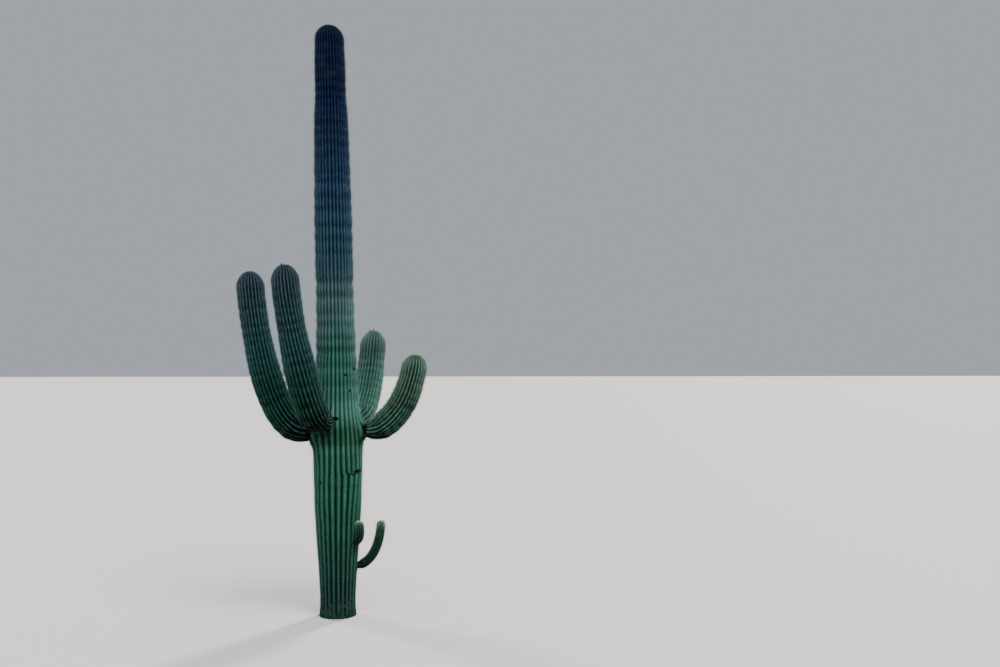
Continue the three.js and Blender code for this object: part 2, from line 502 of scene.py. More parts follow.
class SkinNoise(Enum):
    """The noises that colour and wrinkle the skin."""

    CLOUDS = Noise(3.2, 4, 0.55)
    SPECKS = Noise(120, 2, 0.5)
    PATCHES = Noise(24, 4, 0.6)
    HAZE = Noise(9, 5, 0.6)
    STREAKS = Noise(1.0, 4, 0.6, (34, 34, 1.6))
    YEARS = Noise(1.0, 5, 0.65, (0.6, 0.6, 7.0))
    WRINKLES = Noise(1.0, 3, 0.5, (22, 22, 150))


# The stretch in which most of a noise lies
NOISE_CORE = (0.3, 0.7)

# For each noise that greys the skin, the stretch that counts and the grey at the two ends of it
GREYS = {
    SkinNoise.CLOUDS: (*NOISE_CORE, 0.86, 1.1),
    SkinNoise.YEARS: (0.3, 0.72, -0.1, 0.1),
    SkinNoise.STREAKS: (*NOISE_CORE, -0.1, 0.1),
    SkinNoise.SPECKS: (0.35, 0.65, -0.06, 0.06),
}

# Stretches over which parts of the skin's look set in
BANDING_CHANGES = (0.6, 0.95)
HAZE_SETS_IN = (0.5, 0.78)
HALO_ALONG = (0.36, 0.48)
HALO_ACROSS = (0.8, 0.98)
CORK_TONES = (0.3, 0.68)
CORK_RAGS = (0.2, 0.8, -0.28, 0.28)
CORK_EDGE = (0.3, 0.7)
CORK_SETS_IN = (0.0, 0.12)
ROUGHNESS_SPREAD = (-0.06, 0.08)

# The flakes of corky skin, and the shares of flakes and of finer relief in its height
FLAKE_SCALE = 62
FLAKE_STRETCH = (1, 1, 0.55)
FLAKE_SHARE = 2.5
FINE_SHARE = 0.5


@dataclass(frozen=True)
class FleshFinish:
    """Waxy skin, dark in the grooves and pale on the crests, with cork where it is old or hurt.

    The tints follow one another along the limb, and the dark of their grooves is partly painted shade. haze
    and halo say how strongly the bloom shows in patches and round each areole, banding how much shade is
    painted where the limb widens upwards, high_banding the same near the tip, and shade how much shade is
    painted where the skin faces the ground, lies in a nook or lies under an arm.
    """

    name: str
    tints: tuple[Tint, ...]
    groove_reach: float = 0.42
    ridge_from: float = 0.62
    cork: tuple[int, int, int] = (44, 72, 64)
    dark_cork: tuple[int, int, int] = (12, 24, 22)
    # The colour at a scar's bottom, partly dark cork and partly painted shade of the hollow
    wound: tuple[int, int, int] = (2, 12, 10)
    bloom: tuple[int, int, int] = (84, 118, 114)
    haze: float = 0.12
    halo: float = 0.22
    banding: float = 0.9
    high_banding: float = 0.9
    shade: float = 0.66
    roughness: float = 0.68
    corky_roughness: float = 0.85
    gloss: float = 0.05
    relief_depth: float = 0.004
    relief_strength: float = 0.5

    def pleat_colour(self, wiring: Wiring, crest: object, reach: object) -> Socket:
        """Runs the colour from groove over flank to crest, and along the limb from tint to tint.

        Args:
            wiring: The material's nodes.
            crest: How near the crest a place is.
            reach: The place's share of the limb's length.

        Returns:
            The colour.
        """
        groove, flank, ridge = (
            wiring.ramp(reach, [(tint.at, getattr(tint, part)) for tint in self.tints])
            for part in ("groove", "flank", "crest")
        )
        deep = wiring.mix(wiring.ease(crest, 0.0, self.groove_reach), groove, flank)
        return wiring.mix(wiring.ease(crest, self.ridge_from, 1.0), deep, ridge)

    def weathering_and_painted_shading(self, wiring: Wiring, noises: dict[SkinNoise, Socket], darkened: object) -> Socket:
        """Works out a grey that lightens and darkens the skin in clouds, rings, streaks and specks, less the
        painted shading.

        Args:
            wiring: The material's nodes.
            noises: The noises.
            darkened: The painted shading, as a darkening.

        Returns:
            The grey, around 1.
        """
        shade, *others = (wiring.ease(noises[kind], *limits) for kind, limits in GREYS.items())
        for other in others:
            shade = wiring.math("ADD", shade, other)
        shade = wiring.math("SUBTRACT", shade, darkened)
        return wiring.add("CombineColor", {0: shade, 1: shade, 2: shade}).outputs[0]

    def painted_shading(self, wiring: Wiring, reach: object, slant: object, under: object) -> Socket:
        """Works out the painted shading: darker where the limb widens upwards and lighter where it narrows,
        and darker where the skin faces the ground or lies in a nook.

        Args:
            wiring: The material's nodes.
            reach: The place's share of the limb's length.
            slant: How much the limb widens upwards.
            under: How much the place faces the ground or lies under an arm.

        Returns:
            The darkening, below 0 where light is painted.
        """
        banding = wiring.ease(reach, *BANDING_CHANGES, self.banding, self.high_banding)
        banded = wiring.math("MULTIPLY", slant, banding)
        return wiring.math("ADD", banded, wiring.math("MULTIPLY", under, self.shade))

    def bloomed(self, wiring: Wiring, flesh: object, haze: object, crest: object, beads: object) -> Socket:
        """Lays a pale bloom over the skin, in patches and round each areole.

        Args:
            wiring: The material's nodes.
            flesh: The skin's colour.
            haze: The noise that the patches follow.
            crest: How near the crest a place is.
            beads: The count of areoles along the limb.

        Returns:
            The colour with the bloom.
        """
        hazy = wiring.math("MULTIPLY", wiring.ease(haze, *HAZE_SETS_IN), self.haze)
        flesh = wiring.mix(hazy, flesh, linear(self.bloom))
        near = wiring.math("ABSOLUTE", wiring.math("SUBTRACT", wiring.math("FRACT", beads), 0.5))
        halo = wiring.math("MULTIPLY", wiring.ease(near, *HALO_ALONG), wiring.ease(crest, *HALO_ACROSS))
        return wiring.mix(wiring.math("MULTIPLY", halo, self.halo), flesh, linear(self.bloom))

    def corked(self, wiring: Wiring, cork: object, patches: object) -> Socket:
        """Works out how far cork covers the skin, with a ragged edge.

        Args:
            wiring: The material's nodes.
            cork: How corky the skin is.
            patches: The noise that the edge follows.

        Returns:
            The cover, from 0 to 1.
        """
        ragged = wiring.math("ADD", cork, wiring.ease(patches, *CORK_RAGS))
        return wiring.math("MULTIPLY", wiring.ease(ragged, *CORK_EDGE), wiring.ease(cork, *CORK_SETS_IN))

    def relief(
        self, wiring: Wiring, place: object, noises: dict[SkinNoise, Socket], corky: object
    ) -> Socket:
        """Works out the height of the skin's wrinkles and specks, and of its flakes where it is corky.

        Args:
            wiring: The material's nodes.
            place: Where it is read.
            noises: The noises.
            corky: How far cork covers the skin.

        Returns:
            The height.
        """
        wrinkles = wiring.math("MULTIPLY", noises[SkinNoise.WRINKLES], FINE_SHARE)
        specks = wiring.math("MULTIPLY", noises[SkinNoise.SPECKS], FINE_SHARE)
        flake_inputs = {"Vector": wiring.stretched(place, FLAKE_STRETCH), "Scale": FLAKE_SCALE}
        flakes = wiring.math("MULTIPLY", wiring.add("TexVoronoi", flake_inputs).outputs[0], corky)
        fine = wiring.math("ADD", wrinkles, specks)
        return wiring.math("ADD", fine, wiring.math("MULTIPLY", flakes, FLAKE_SHARE))

    def build(self) -> bpy.types.Material:
        """Makes the material.

        Returns:
            The material.
        """
        wiring = Wiring(self.name, self.roughness, self.gloss)
        crest, cork, wound, beads, reach, slant, under = map(wiring.attribute, SKIN_LAYERS)
        place = wiring.add("TexCoord", {}).outputs["Object"]
        noises = {kind: wiring.noise(place, kind.value) for kind in SkinNoise}
        patches = noises[SkinNoise.PATCHES]

        darkened = self.painted_shading(wiring, reach, slant, under)
        grey = self.weathering_and_painted_shading(wiring, noises, darkened)
        flesh = wiring.mix(1.0, self.pleat_colour(wiring, crest, reach), grey, "MULTIPLY")
        flesh = self.bloomed(wiring, flesh, noises[SkinNoise.HAZE], crest, beads)
        corky = self.corked(wiring, cork, patches)
        cork_colour = wiring.mix(wiring.ease(patches, *CORK_TONES), linear(self.dark_cork), linear(self.cork))
        colour = wiring.mix(corky, flesh, cork_colour)
        colour = wiring.mix(wound, colour, linear(self.wound))
        wiring.put(colour, wiring.surface.inputs["Base Color"])

        limits = [self.roughness + change for change in ROUGHNESS_SPREAD]
        rough = wiring.ease(noises[SkinNoise.CLOUDS], *NOISE_CORE, *limits)
        rough = wiring.math("MAXIMUM", rough, wiring.math("MULTIPLY", corky, self.corky_roughness))
        wiring.put(rough, wiring.surface.inputs["Roughness"])
        height = self.relief(wiring, place, noises, corky)
        wiring.ridge(height, self.relief_depth, self.relief_strength)
        return wiring.material


@dataclass(frozen=True)
class PlainFinish:
    """One plain colour, for the small things that are joined by the thousand."""

    name: str
    colour: tuple[int, int, int]
    roughness: float = 0.6
    gloss: float = 0.3

    def build(self) -> bpy.types.Material:
        """Makes the material.

        Returns:
            The material.
        """
        wiring = Wiring(self.name, self.roughness, self.gloss)
        wiring.put(linear(self.colour), wiring.surface.inputs["Base Color"])
        return wiring.material


@dataclass(frozen=True)
class BudFinish:
    """Green scales of a closed bud that turn brown towards their points."""

    name: str
    green: tuple[int, int, int]
    brown: tuple[int, int, int]
    blotches: Noise = Noise(60, 3, 0.6)
    blotch_share: float = 0.4
    brown_from: float = 0.5
    roughness: float = 0.5
    gloss: float = 0.4
    relief_depth: float = 0.001
    relief_strength: float = 0.4

    def build(self) -> bpy.types.Material:
        """Makes the material.

        Returns:
            The material.
        """
        wiring = Wiring(self.name, self.roughness, self.gloss)
        edge = wiring.attribute("edge")
        blotch = wiring.noise(wiring.add("TexCoord", {}).outputs["Object"], self.blotches)
        near_point = wiring.math("ADD", edge, wiring.math("MULTIPLY", blotch, self.blotch_share))
        browned = wiring.ease(near_point, self.brown_from, 1.0)
        colour = wiring.mix(browned, linear(self.green), linear(self.brown))
        wiring.put(colour, wiring.surface.inputs["Base Color"])
        wiring.ridge(blotch, self.relief_depth, self.relief_strength)
        return wiring.material


class SpineTone(Enum):
    """The colours of spines."""

    CREAM = PlainFinish("spines_cream", (214, 218, 200))
    SILVER = PlainFinish("spines_silver", (112, 142, 124))
    GREY = PlainFinish("spines_grey", (70, 106, 96))
    SLATE = PlainFinish("spines_slate", (32, 62, 66))
    NIGHT = PlainFinish("spines_night", (6, 18, 44))
    MOSS = PlainFinish("spines_moss", (4, 26, 16))


class FeltTone(Enum):
    """The colours of the felt pads that spines grow from."""

    PALE = PlainFinish("felt_pale", (58, 84, 74), 0.9)
    DARK = PlainFinish("felt_dark", (22, 42, 46), 0.9)


class Shelf:
    """Keeps the material of each finish, so that pieces share it."""

    def __init__(self) -> None:
        """Starts an empty shelf."""
        self.made: dict[str, bpy.types.Material] = {}

    def take(self, finish: FleshFinish | PlainFinish) -> bpy.types.Material:
        """Takes a finish's material, which is made the first time.

        Args:
            finish: The finish.

        Returns:
            Its material.
        """
        if finish.name not in self.made:
            self.made[finish.name] = finish.build()
        return self.made[finish.name]


SHELF = Shelf()
# The trunk's tints are partly its own colour and partly painted shade: the dark tints at 0.29 and 0.31 are
# painted shadow under the arms, and the dark navy towards the crown is partly painted shade
TRUNK_FINISH = FleshFinish("trunk_flesh", (
    Tint(0.00, (0, 6, 6), (6, 26, 26), (40, 64, 66)),
    Tint(0.09, (0, 18, 12), (12, 48, 38), (46, 86, 74)),
    Tint(0.20, (0, 28, 16), (12, 64, 46), (48, 104, 82)),
    Tint(0.26, (2, 30, 20), (14, 64, 50), (54, 106, 88)),
    Tint(0.277, (4, 36, 26), (22, 74, 60), (64, 120, 100)),
    Tint(0.29, (0, 28, 14), (10, 58, 38), (46, 96, 72)),
    Tint(0.31, (0, 28, 14), (10, 58, 38), (46, 98, 74)),
    Tint(0.335, (8, 52, 42), (40, 90, 80), (78, 126, 114)),
    Tint(0.352, (18, 66, 60), (54, 106, 98), (94, 140, 132)),
    Tint(0.366, (8, 52, 44), (36, 86, 76), (70, 118, 108)),
    Tint(0.42, (8, 54, 46), (40, 92, 82), (74, 126, 116)),
    Tint(0.445, (4, 48, 40), (36, 84, 74), (70, 118, 108)),
    Tint(0.46, (14, 58, 54), (52, 94, 90), (92, 126, 122)),
    Tint(0.53, (26, 58, 62), (68, 94, 100), (108, 128, 134)),
    Tint(0.57, (8, 40, 46), (42, 68, 80), (82, 108, 120)),
    Tint(0.60, (2, 32, 42), (28, 56, 72), (74, 98, 114)),
    Tint(0.70, (0, 22, 42), (22, 48, 74), (62, 82, 110)),
    Tint(0.86, (0, 4, 27), (4, 19, 52), (24, 44, 82)),
    Tint(1.00, (0, 2, 20), (1, 9, 41), (15, 30, 70)),
), groove_reach=0.36, ridge_from=0.56, banding=1.15, high_banding=3.2)
# The dark tints low on the long arms are partly painted shade
LONG_ARM_TINTS = (
    Tint(0.18, (0, 12, 6), (0, 44, 32), (58, 104, 90)),
    Tint(0.34, (0, 22, 18), (14, 60, 54), (56, 94, 88)),
    Tint(0.60, (0, 26, 28), (24, 62, 66), (70, 98, 104)),
    Tint(0.90, (0, 20, 28), (34, 52, 62), (84, 94, 106)),
    Tint(1.00, (4, 18, 32), (38, 52, 66), (88, 96, 112)),
)
# The near-black tints at the left arm's root are painted shadow of the front arm
LEFT_ARM_FINISH = FleshFinish("left_arm_flesh", (
    Tint(0.00, (0, 6, 6), (0, 28, 26), (44, 78, 74)),
    Tint(0.09, (0, 12, 11), (4, 42, 40), (66, 108, 104)),
) + LONG_ARM_TINTS, ridge_from=0.66, banding=1.4, high_banding=1.4)
# The pale crest tints at the front arm's root are painted light
FRONT_ARM_FINISH = FleshFinish("front_arm_flesh", (
    Tint(0.00, (0, 2, 0), (0, 20, 12), (150, 186, 176)),
    Tint(0.05, (0, 6, 0), (0, 24, 14), (116, 156, 144)),
    Tint(0.10, (0, 8, 2), (0, 30, 16), (74, 118, 102)),
    Tint(0.14, (0, 6, 0), (0, 26, 12), (46, 90, 74)),
) + LONG_ARM_TINTS, ridge_from=0.66, banding=1.4, high_banding=1.4)
# The back arm's tints, paler than those of the other arms, are partly painted light
BACK_ARM_FINISH = FleshFinish("back_arm_flesh", (
    Tint(0.00, (26, 92, 80), (80, 136, 122), (132, 172, 162)),
    Tint(0.35, (24, 78, 68), (70, 124, 112), (122, 162, 152)),
    Tint(0.75, (18, 56, 52), (56, 92, 88), (116, 138, 136)),
    Tint(1.00, (26, 62, 60), (76, 100, 100), (138, 152, 152)),
), banding=1.2, high_banding=1.2)
RIGHT_ARM_FINISH = FleshFinish("right_arm_flesh", (
    Tint(0.00, (4, 38, 26), (42, 96, 76), (112, 156, 136)),
    Tint(0.14, (0, 30, 18), (30, 80, 62), (96, 138, 118)),
    Tint(0.30, (0, 26, 14), (30, 72, 56), (96, 132, 114)),
    Tint(0.55, (0, 24, 12), (30, 62, 48), (94, 120, 104)),
    Tint(0.85, (0, 30, 18), (42, 76, 62), (134, 164, 148)),
    Tint(1.00, (12, 46, 36), (68, 98, 86), (156, 180, 166)),
), banding=1.2, high_banding=1.2)
YOUNG_FINISH = FleshFinish("young_flesh", (
    Tint(0.00, (0, 18, 8), (2, 36, 20), (26, 60, 40)),
    Tint(0.60, (0, 24, 12), (8, 46, 28), (36, 76, 54)),
    Tint(0.85, (2, 36, 22), (22, 66, 46), (66, 108, 84)),
    Tint(0.95, (14, 60, 42), (56, 104, 80), (126, 166, 140)),
    Tint(1.00, (40, 90, 70), (104, 150, 126), (178, 206, 184)),
))


@dataclass(frozen=True)
class SpineDress:
    """How dark a limb's spines are along it, partly as painted shade, how long beside the trunk's, and how
    much painted light pales them on the side towards the rim lamps behind.
    """

    shadow: tuple[tuple[float, float], ...]
    size: float = 0.85
    tip_size: float = 0.6
    darkest: SpineTone = SpineTone.MOSS
    painted_light: float = 0.2


# The dark spines low on the long arms and towards the trunk's crown are partly painted shade
LONG_ARM_SPINES = SpineDress(((0.0, 0.9), (0.1, 0.7), (0.35, 0.6), (0.7, 0.5), (1.0, 0.5)))
YOUNG_SPINES = SpineDress(((0.0, 0.8), (0.6, 0.45), (1.0, 0.05)), size=0.75, tip_size=1.1, painted_light=0.3)
DRESSES = {
    "trunk": SpineDress(
        ((0.0, 0.65), (0.20, 0.42), (0.45, 0.36), (0.56, 0.50), (0.70, 0.72), (0.85, 0.95), (1.0, 1.0)),
        size=1.0, darkest=SpineTone.NIGHT,
    ),
    "left_arm": LONG_ARM_SPINES,
    "front_arm": LONG_ARM_SPINES,
    "back_arm": SpineDress(((0.0, 0.28), (1.0, 0.22)), size=1.0, tip_size=0.8, painted_light=0.3),
    "right_arm": SpineDress(((0.0, 0.30), (0.5, 0.26), (1.0, 0.22)), size=1.1, tip_size=0.9, painted_light=0.3),
    "young_arm": YOUNG_SPINES,
    "sprout": YOUNG_SPINES,
}
ARM_FINISHES = {
    "left_arm": LEFT_ARM_FINISH, "front_arm": FRONT_ARM_FINISH, "back_arm": BACK_ARM_FINISH,
    "right_arm": RIGHT_ARM_FINISH,
}
BUD_FINISH = BudFinish("bud_scales", (58, 70, 56), (50, 44, 46))


@dataclass(frozen=True)
class RibEnd:
    """Where a rib that begins part of the way up a limb does so, and the length over which it grows whole."""

    bearing: float
    at: float
    taper: float


class Wander:
    """Smooth drift along a limb, made of a few waves, that differs from rib to rib."""

    # The length and strength of each wave
    WAVES = ((1.3, 1.0), (0.52, 0.5), (0.21, 0.25))

    def __init__(self, random: Random, ribs: int) -> None:
        """Draws where each rib's waves start.

        Args:
            random: Source of the draws.
            ribs: Number of ribs.
        """
        self.starts = random.uniform(0, 2 * math.pi, (len(self.WAVES), ribs))

    def at(self, along: Array) -> Array:
        """Reads the drift.

        Args:
            along: Distances along the limb.

        Returns:
            The drift of each rib at each distance, between about -1 and 1.
        """
        waves = [
            strength * np.sin(2 * math.pi * along[:, None] / length + start)
            for (length, strength), start in zip(self.WAVES, self.starts)
        ]
        return np.sum(waves, axis=0) / sum(strength for _, strength in self.WAVES)


@dataclass
class Pleats:
    """The ribs round a limb: how wide each is along the limb, and how deep the grooves between them are.

    From change_from to change_to along the limb their bluntness goes from low_blunt to high_blunt, and they
    turn by twist, in radians. first is the bearing of the first groove, in radians, and depth a groove's
    depth beside the rib's width. Where a rib ends, those beside it take its room, and over the length
    settle all the others do. uneven and drift say how much the widths differ and wander.
    """

    # Width of a rib that hasn't begun, and the shares of its room that go to the nearest ribs on each side
    THINNEST = 0.012
    NEARBY = (0.28, 0.14, 0.08)

    # Where a rib with no lower end begins, and how unevenly the areoles of neighbouring ribs are staggered
    FROM_THE_START = -1e3
    STAGGER_JITTER = 0.12

    ribs: int
    ends: list[RibEnd]
    random: Random
    first: float = 0.0
    depth: float = 0.5
    low_blunt: float = 1.7
    high_blunt: float = 1.7
    twist: float = 0.0
    change_from: float = 0.0
    change_to: float = 1.0
    settle: float = 0.55
    uneven: float = 0.07
    drift: float = 0.035

    def __post_init__(self) -> None:
        """Draws the unevenness of the ribs and finds which of them each end belongs to."""
        self.share = 1 + self.uneven * self.random.uniform(-1, 1, self.ribs)
        self.starts = np.full(self.ribs, self.FROM_THE_START)
        self.tapers = np.ones(self.ribs)
        jitter = self.random.uniform(-self.STAGGER_JITTER, self.STAGGER_JITTER, self.ribs)
        self.stagger = (np.arange(self.ribs) % 2) / 2 + jitter
        self.wander = Wander(self.random, self.ribs)
        for end in self.ends:
            turned = (math.radians(end.bearing) - self.first) % (2 * math.pi)
            rib = int(turned / (2 * math.pi) * self.ribs) % self.ribs
            self.starts[rib] = end.at
            self.tapers[rib] = end.taper
        half, number = self.ribs // 2, np.arange(self.ribs)
        away = np.abs((number[:, None] - number + half) % self.ribs - half)
        self.nearby = np.select([away == step for step in (1, 2, 3)], self.NEARBY, 0.0)

    def presence(self, along: Array) -> Array:
        """How much of each rib there is.

        Args:
            along: Distances along the limb.

        Returns:
            A row for each distance, with 0 where a rib hasn't begun and 1 where it is whole.
        """
        return smooth((along[:, None] - self.starts) / self.tapers)

    def edges(self, along: Array) -> Array:
        """The bearings of the grooves, where room that a rib doesn't fill goes to those beside it.

        Args:
            along: Distances along the limb.

        Returns:
            A row for each distance, with one bearing more than there are ribs, in radians.
        """
        here = self.presence(along)
        spare = self.share * (1 - here)
        settled = smooth((self.starts - along[:, None]) / self.settle)
        near = (spare * (1 - settled)) @ self.nearby
        far = (spare * settled).sum(1, keepdims=True) * self.share / self.share.sum()
        widths = (self.share + near + far) * np.maximum(here, self.THINNEST)
        widths *= 1 + self.drift * self.wander.at(along)
        widths *= 2 * math.pi / widths.sum(1, keepdims=True)
        ends = np.cumsum(widths, axis=1)
        first = self.first + self.twist * self.change(along)[:, None]
        return first + np.concatenate([np.zeros_like(ends[:, :1]), ends], axis=1)

    def change(self, along: Array) -> Array:
        """How far the shape of the ribs has gone from that below to that above, from 0 to 1."""
        return smooth((along - self.change_from) / (self.change_to - self.change_from))

    def groove(self, along: Array, part: Array) -> Array:
        """How far the surface has sunk from crest to groove.

        Args:
            along: Distances along the limb.
            part: Places across a rib, from 0 in one groove over 0.5 on the crest to 1 in the next groove.

        Returns:
            A row for each distance and a column for each place, with 0 on the crest and 1 in the groove.
        """
        blunt = self.low_blunt + (self.high_blunt - self.low_blunt) * self.change(along)
        return np.abs(np.cos(math.pi * part)[None, :]) ** blunt[:, None]


AREOLE_PARTS = ("place", "out", "up", "from_tip", "reach")


@dataclass
class AreoleField:
    """Where the areoles of a limb are, which way each faces, and how far up the limb it is."""

    place: Array
    out: Array
    up: Array
    from_tip: Array
    reach: Array

    def keep(self, wanted: Array) -> "AreoleField":
        """Picks some of the areoles.

        Args:
            wanted: True for each that stays.

        Returns:
            The field of those that stay.
        """
        return AreoleField(*(getattr(self, part)[wanted] for part in AREOLE_PARTS))


@dataclass
class Limb:
    """A pleated limb with a round tip, from a station inside what carries it to its tip.

    The skin runs along its middle from start to length. Each of row_steps is a distance and the step between
    rows up to there, and each of details the middle, half length and step of a stretch with finer rows. The
    skin is parted into pieces at the cuts, and has a dimple in its tip.
    """

    name: str
    nodes: list[str]
    slot: str
    finish: FleshFinish
    dress: SpineDress
    length: float
    dome: float
    start: float
    pleats: Pleats
    row_steps: tuple[tuple[float, float], ...]
    columns: int = 10
    dome_rows: int = 13
    cuts: tuple[float, ...] = ()
    tip_dip: float = 0.007
    tip_dip_half: float = 0.028
    details: list[tuple[float, float, float]] = field(default_factory=list)

    def crest_radius(self, along: Array, bearing: Array) -> Array:
        """Distance of the crests from the limb's middle. Each kind of limb has its own."""
        raise NotImplementedError

    def carry(self, along: Array, bearing: Array, radius: Array) -> Array:
        """Carries places round the limb's middle to the plant's frame. Each kind of limb has its own."""
        raise NotImplementedError

    def rib_share(self, along: Array) -> Array:
        """Share of the full groove depth along the limb."""
        return np.ones_like(along)

    def weathered(self, along: Array, bearing: Array, radius: Array) -> Array:
        """The radius with whatever has hurt the limb."""
        return radius

    def cork(self, along: Array, bearing: Array) -> Array:
        """How corky the skin is, from 0 to 1. Each kind of limb has its own."""
        raise NotImplementedError

    def wound(self, along: Array, bearing: Array) -> Array:
        """How near the bottom of a wound the skin is, from 0 to 1."""
        return np.zeros(np.broadcast(along, bearing).shape)

    def under(self, along: Array, bearing: Array) -> Array:
        """How much shade is painted on the skin, from 0 to 1. Each kind of limb has its own."""
        raise NotImplementedError

    def slant(self, along: Array, bearing: Array) -> Array:
        """How much the limb widens upwards, leaving out its round tip.

        Args:
            along: Distances along the limb.
            bearing: Bearings in radians.

        Returns:
            The widening, as a rise of the radius for each metre.
        """
        above = self.crest_radius(along + SLANT_STEP, bearing)
        below = self.crest_radius(along - SLANT_STEP, bearing)
        widening = np.clip((above - below) / (2 * SLANT_STEP), -SLANT_LIMIT, SLANT_LIMIT)
        return widening * smooth((self.length - self.dome - along) / SLANT_STEP)

    def heading(self, along: Array) -> Array:
        """Direction in which the limb grows."""
        ends = [self.carry(along + step, along * 0, along * 0) for step in (-HEADING_STEP, HEADING_STEP)]
        return unit(ends[1] - ends[0])

    def dome_share(self, along: Array) -> Array:
        """Share of the full radius on the round tip.

        Args:
            along: Distances along the limb.

        Returns:
            1 below the tip, falling to 0 at its top.
        """
        past = np.clip((along - (self.length - self.dome)) / self.dome, 0, 1)
        return np.sqrt(1 - past**2)

    def stations(self) -> Array:
        """The distances along the limb of the skin's rows, closer together over its details and its tip.

        Returns:
            The distances, rising.
        """
        shoulder = self.length - self.dome
        low, stretches = self.start, []
        for high, step in self.row_steps:
            top = min(high, shoulder)
            stretches.append(np.linspace(low, top, math.ceil((top - low) / step), endpoint=False))
            low = top
        rows = np.concatenate(stretches)
        for centre, half, step in sorted(self.details, key=lambda detail: -detail[2]):
            fine = np.arange(centre - half, centre + half, step)
            rows = np.concatenate([rows[(rows < fine[0] - step / 2) | (rows > fine[-1] + step / 2)], fine])
        turns = np.linspace(0, math.pi / 2, self.dome_rows, endpoint=False)
        return np.concatenate([np.sort(rows), shoulder + self.dome * np.sin(turns)])

    def bead_table(self) -> tuple[Array, Array]:
        """Counts areoles along the limb, by the length of its surface and their closer spacing at the tip.

        Returns:
            Distances along the limb, and the count up to each.
        """
        shoulder = self.length - self.dome
        body = np.linspace(self.start, shoulder, BODY_STATIONS, endpoint=False)
        turns = np.linspace(0, math.pi / 2, DOME_STATIONS)
        along = np.concatenate([body, shoulder + self.dome * np.sin(turns)])
        radius = self.crest_radius(along, along * 0)
        surface = np.concatenate([[0], np.cumsum(np.hypot(np.diff(along), np.diff(radius)))])
        closeness = TIP_SPACING_SHARE + (1 - TIP_SPACING_SHARE) * smooth((surface[-1] - surface) / TIP_ZONE)
        steps = np.diff(surface) / (AREOLE_SPACING * closeness[1:])
        return along, np.concatenate([[0], np.cumsum(steps)])

    def surface(self, along: Array, part: Array) -> tuple[Array, Array, Array]:
        """Places points of the skin.

        Args:
            along: Distances along the limb.
            part: Places across each rib, from 0 to 1.

        Returns:
            Points by distance, rib and part, their crest values from 0 to 1, and their bearings.
        """
        pleats = self.pleats
        edges = pleats.edges(along)
        widths = np.diff(edges, axis=1)
        bearing = edges[:, :-1, None] + widths[:, :, None] * part
        far = along[:, None, None]
        crest = self.crest_radius(far, bearing)
        spacing = widths * crest.mean(axis=2)
        wider = np.maximum(spacing, np.roll(spacing, 1, axis=1))
        deep = pleats.depth * self.rib_share(along)[:, None] * wider
        deep = np.concatenate([deep, deep[:, :1]], axis=1)
        depth = deep[:, :-1, None] * (1 - part) + deep[:, 1:, None] * part
        sunk = pleats.groove(along, part)[:, None, :]
        level = 1 - (1 - sunk) * pleats.presence(along)[:, :, None]
        radius = self.weathered(far, bearing, crest - depth * level)
        points = self.carry(far, bearing, radius)
        dip = self.tip_dip * bump(radius, self.tip_dip_half) * (far > self.length - self.dome)
        points = points - self.heading(along)[:, None, None, :] * dip[..., None]
        return points, 1 - level, bearing

    def build_skin(self) -> None:
        """Builds the skin as one closed mesh, or as one for each stretch between its cuts."""
        along = self.stations()
        part = np.arange(self.columns) / self.columns
        points, crest, bearing = self.surface(along, part)
        bead_places, bead_counts = self.bead_table()
        beads = np.interp(along, bead_places, bead_counts)[:, None, None] + self.pleats.stagger[None, :, None]
        far = along[:, None, None]
        numbers = (
            crest, self.cork(far, bearing), self.wound(far, bearing), beads, np.clip(far / self.length, 0, 1),
            self.slant(far, bearing), self.under(far, bearing),
        )
        layers = [np.broadcast_to(each, crest.shape).reshape(len(along), -1) for each in numbers]
        grid = points.reshape(len(along), -1, 3)
        bounds = [0, *np.searchsorted(along, self.cuts), len(along) - 1]
        for count, (low, high) in enumerate(zip(bounds, bounds[1:]), start=1):
            title = f"{self.name}_skin_{count}" if self.cuts else f"{self.name}_skin"
            rows = slice(low, high + 1)
            self.build_stretch(title, along[rows], grid[rows], [layer[rows] for layer in layers])

    def build_stretch(self, title: str, along: Array, grid: Array, layers: list[Array]) -> None:
        """Builds one closed stretch of the skin, with its texture map and the numbers that its finish reads.

        Args:
            title: Name of the piece.
            along: Distances along the limb of its rows.
            grid: Its points by row and column.
            layers: The numbers in the order of SKIN_LAYERS, by row and column.
        """
        rows, round_count = grid.shape[:2]
        number, quads = ring_faces(rows, round_count)
        foot_ring = np.arange(round_count) + number.size
        foot_centre = number.size + round_count
        points = [grid.reshape(-1, 3), grid[0], grid[0].mean(axis=0)[None]]
        tip = along[-1] > self.length - self.dome
        if tip:
            top_ring, top_centre = number[-1], foot_centre + 1
            middle = self.carry(np.array([self.length]), np.zeros(1), np.zeros(1))
            points.append(middle - self.heading(along[-1:]) * self.tip_dip)
        else:
            top_ring = np.arange(round_count) + foot_centre + 1
            top_centre = foot_centre + 1 + round_count
            points += [grid[-1], grid[-1].mean(axis=0)[None]]
        foot = np.stack([np.roll(foot_ring, -1), foot_ring, np.full(round_count, foot_centre)], axis=-1)
        top = np.stack([top_ring, np.roll(top_ring, -1), np.full(round_count, top_centre)], axis=-1)
        faces = np.concatenate([quads[:, [0, 1, 2]], quads[:, [0, 2, 3]], foot, top])
        skin = joined_mesh(title, np.concatenate(points), faces, SHELF.take(self.finish))

        for layer_name, values in zip(SKIN_LAYERS, layers):
            ends = [values[0], values[0, :1]] + ([] if tip else [values[-1]]) + [values[-1, :1]]
            layer = skin.data.attributes.new(layer_name, "FLOAT", "POINT")
            layer.data.foreach_set("value", np.concatenate([values.ravel(), *ends]).astype(np.float32))
        share = (along - along[0]) / (self.length - along[0])
        self.unwrap(skin, faces, share, round_count, (foot_centre, top_centre))
        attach(skin, BODY)
        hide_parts(*self.nodes)
        LOG.info("%s: %d faces", title, len(faces))

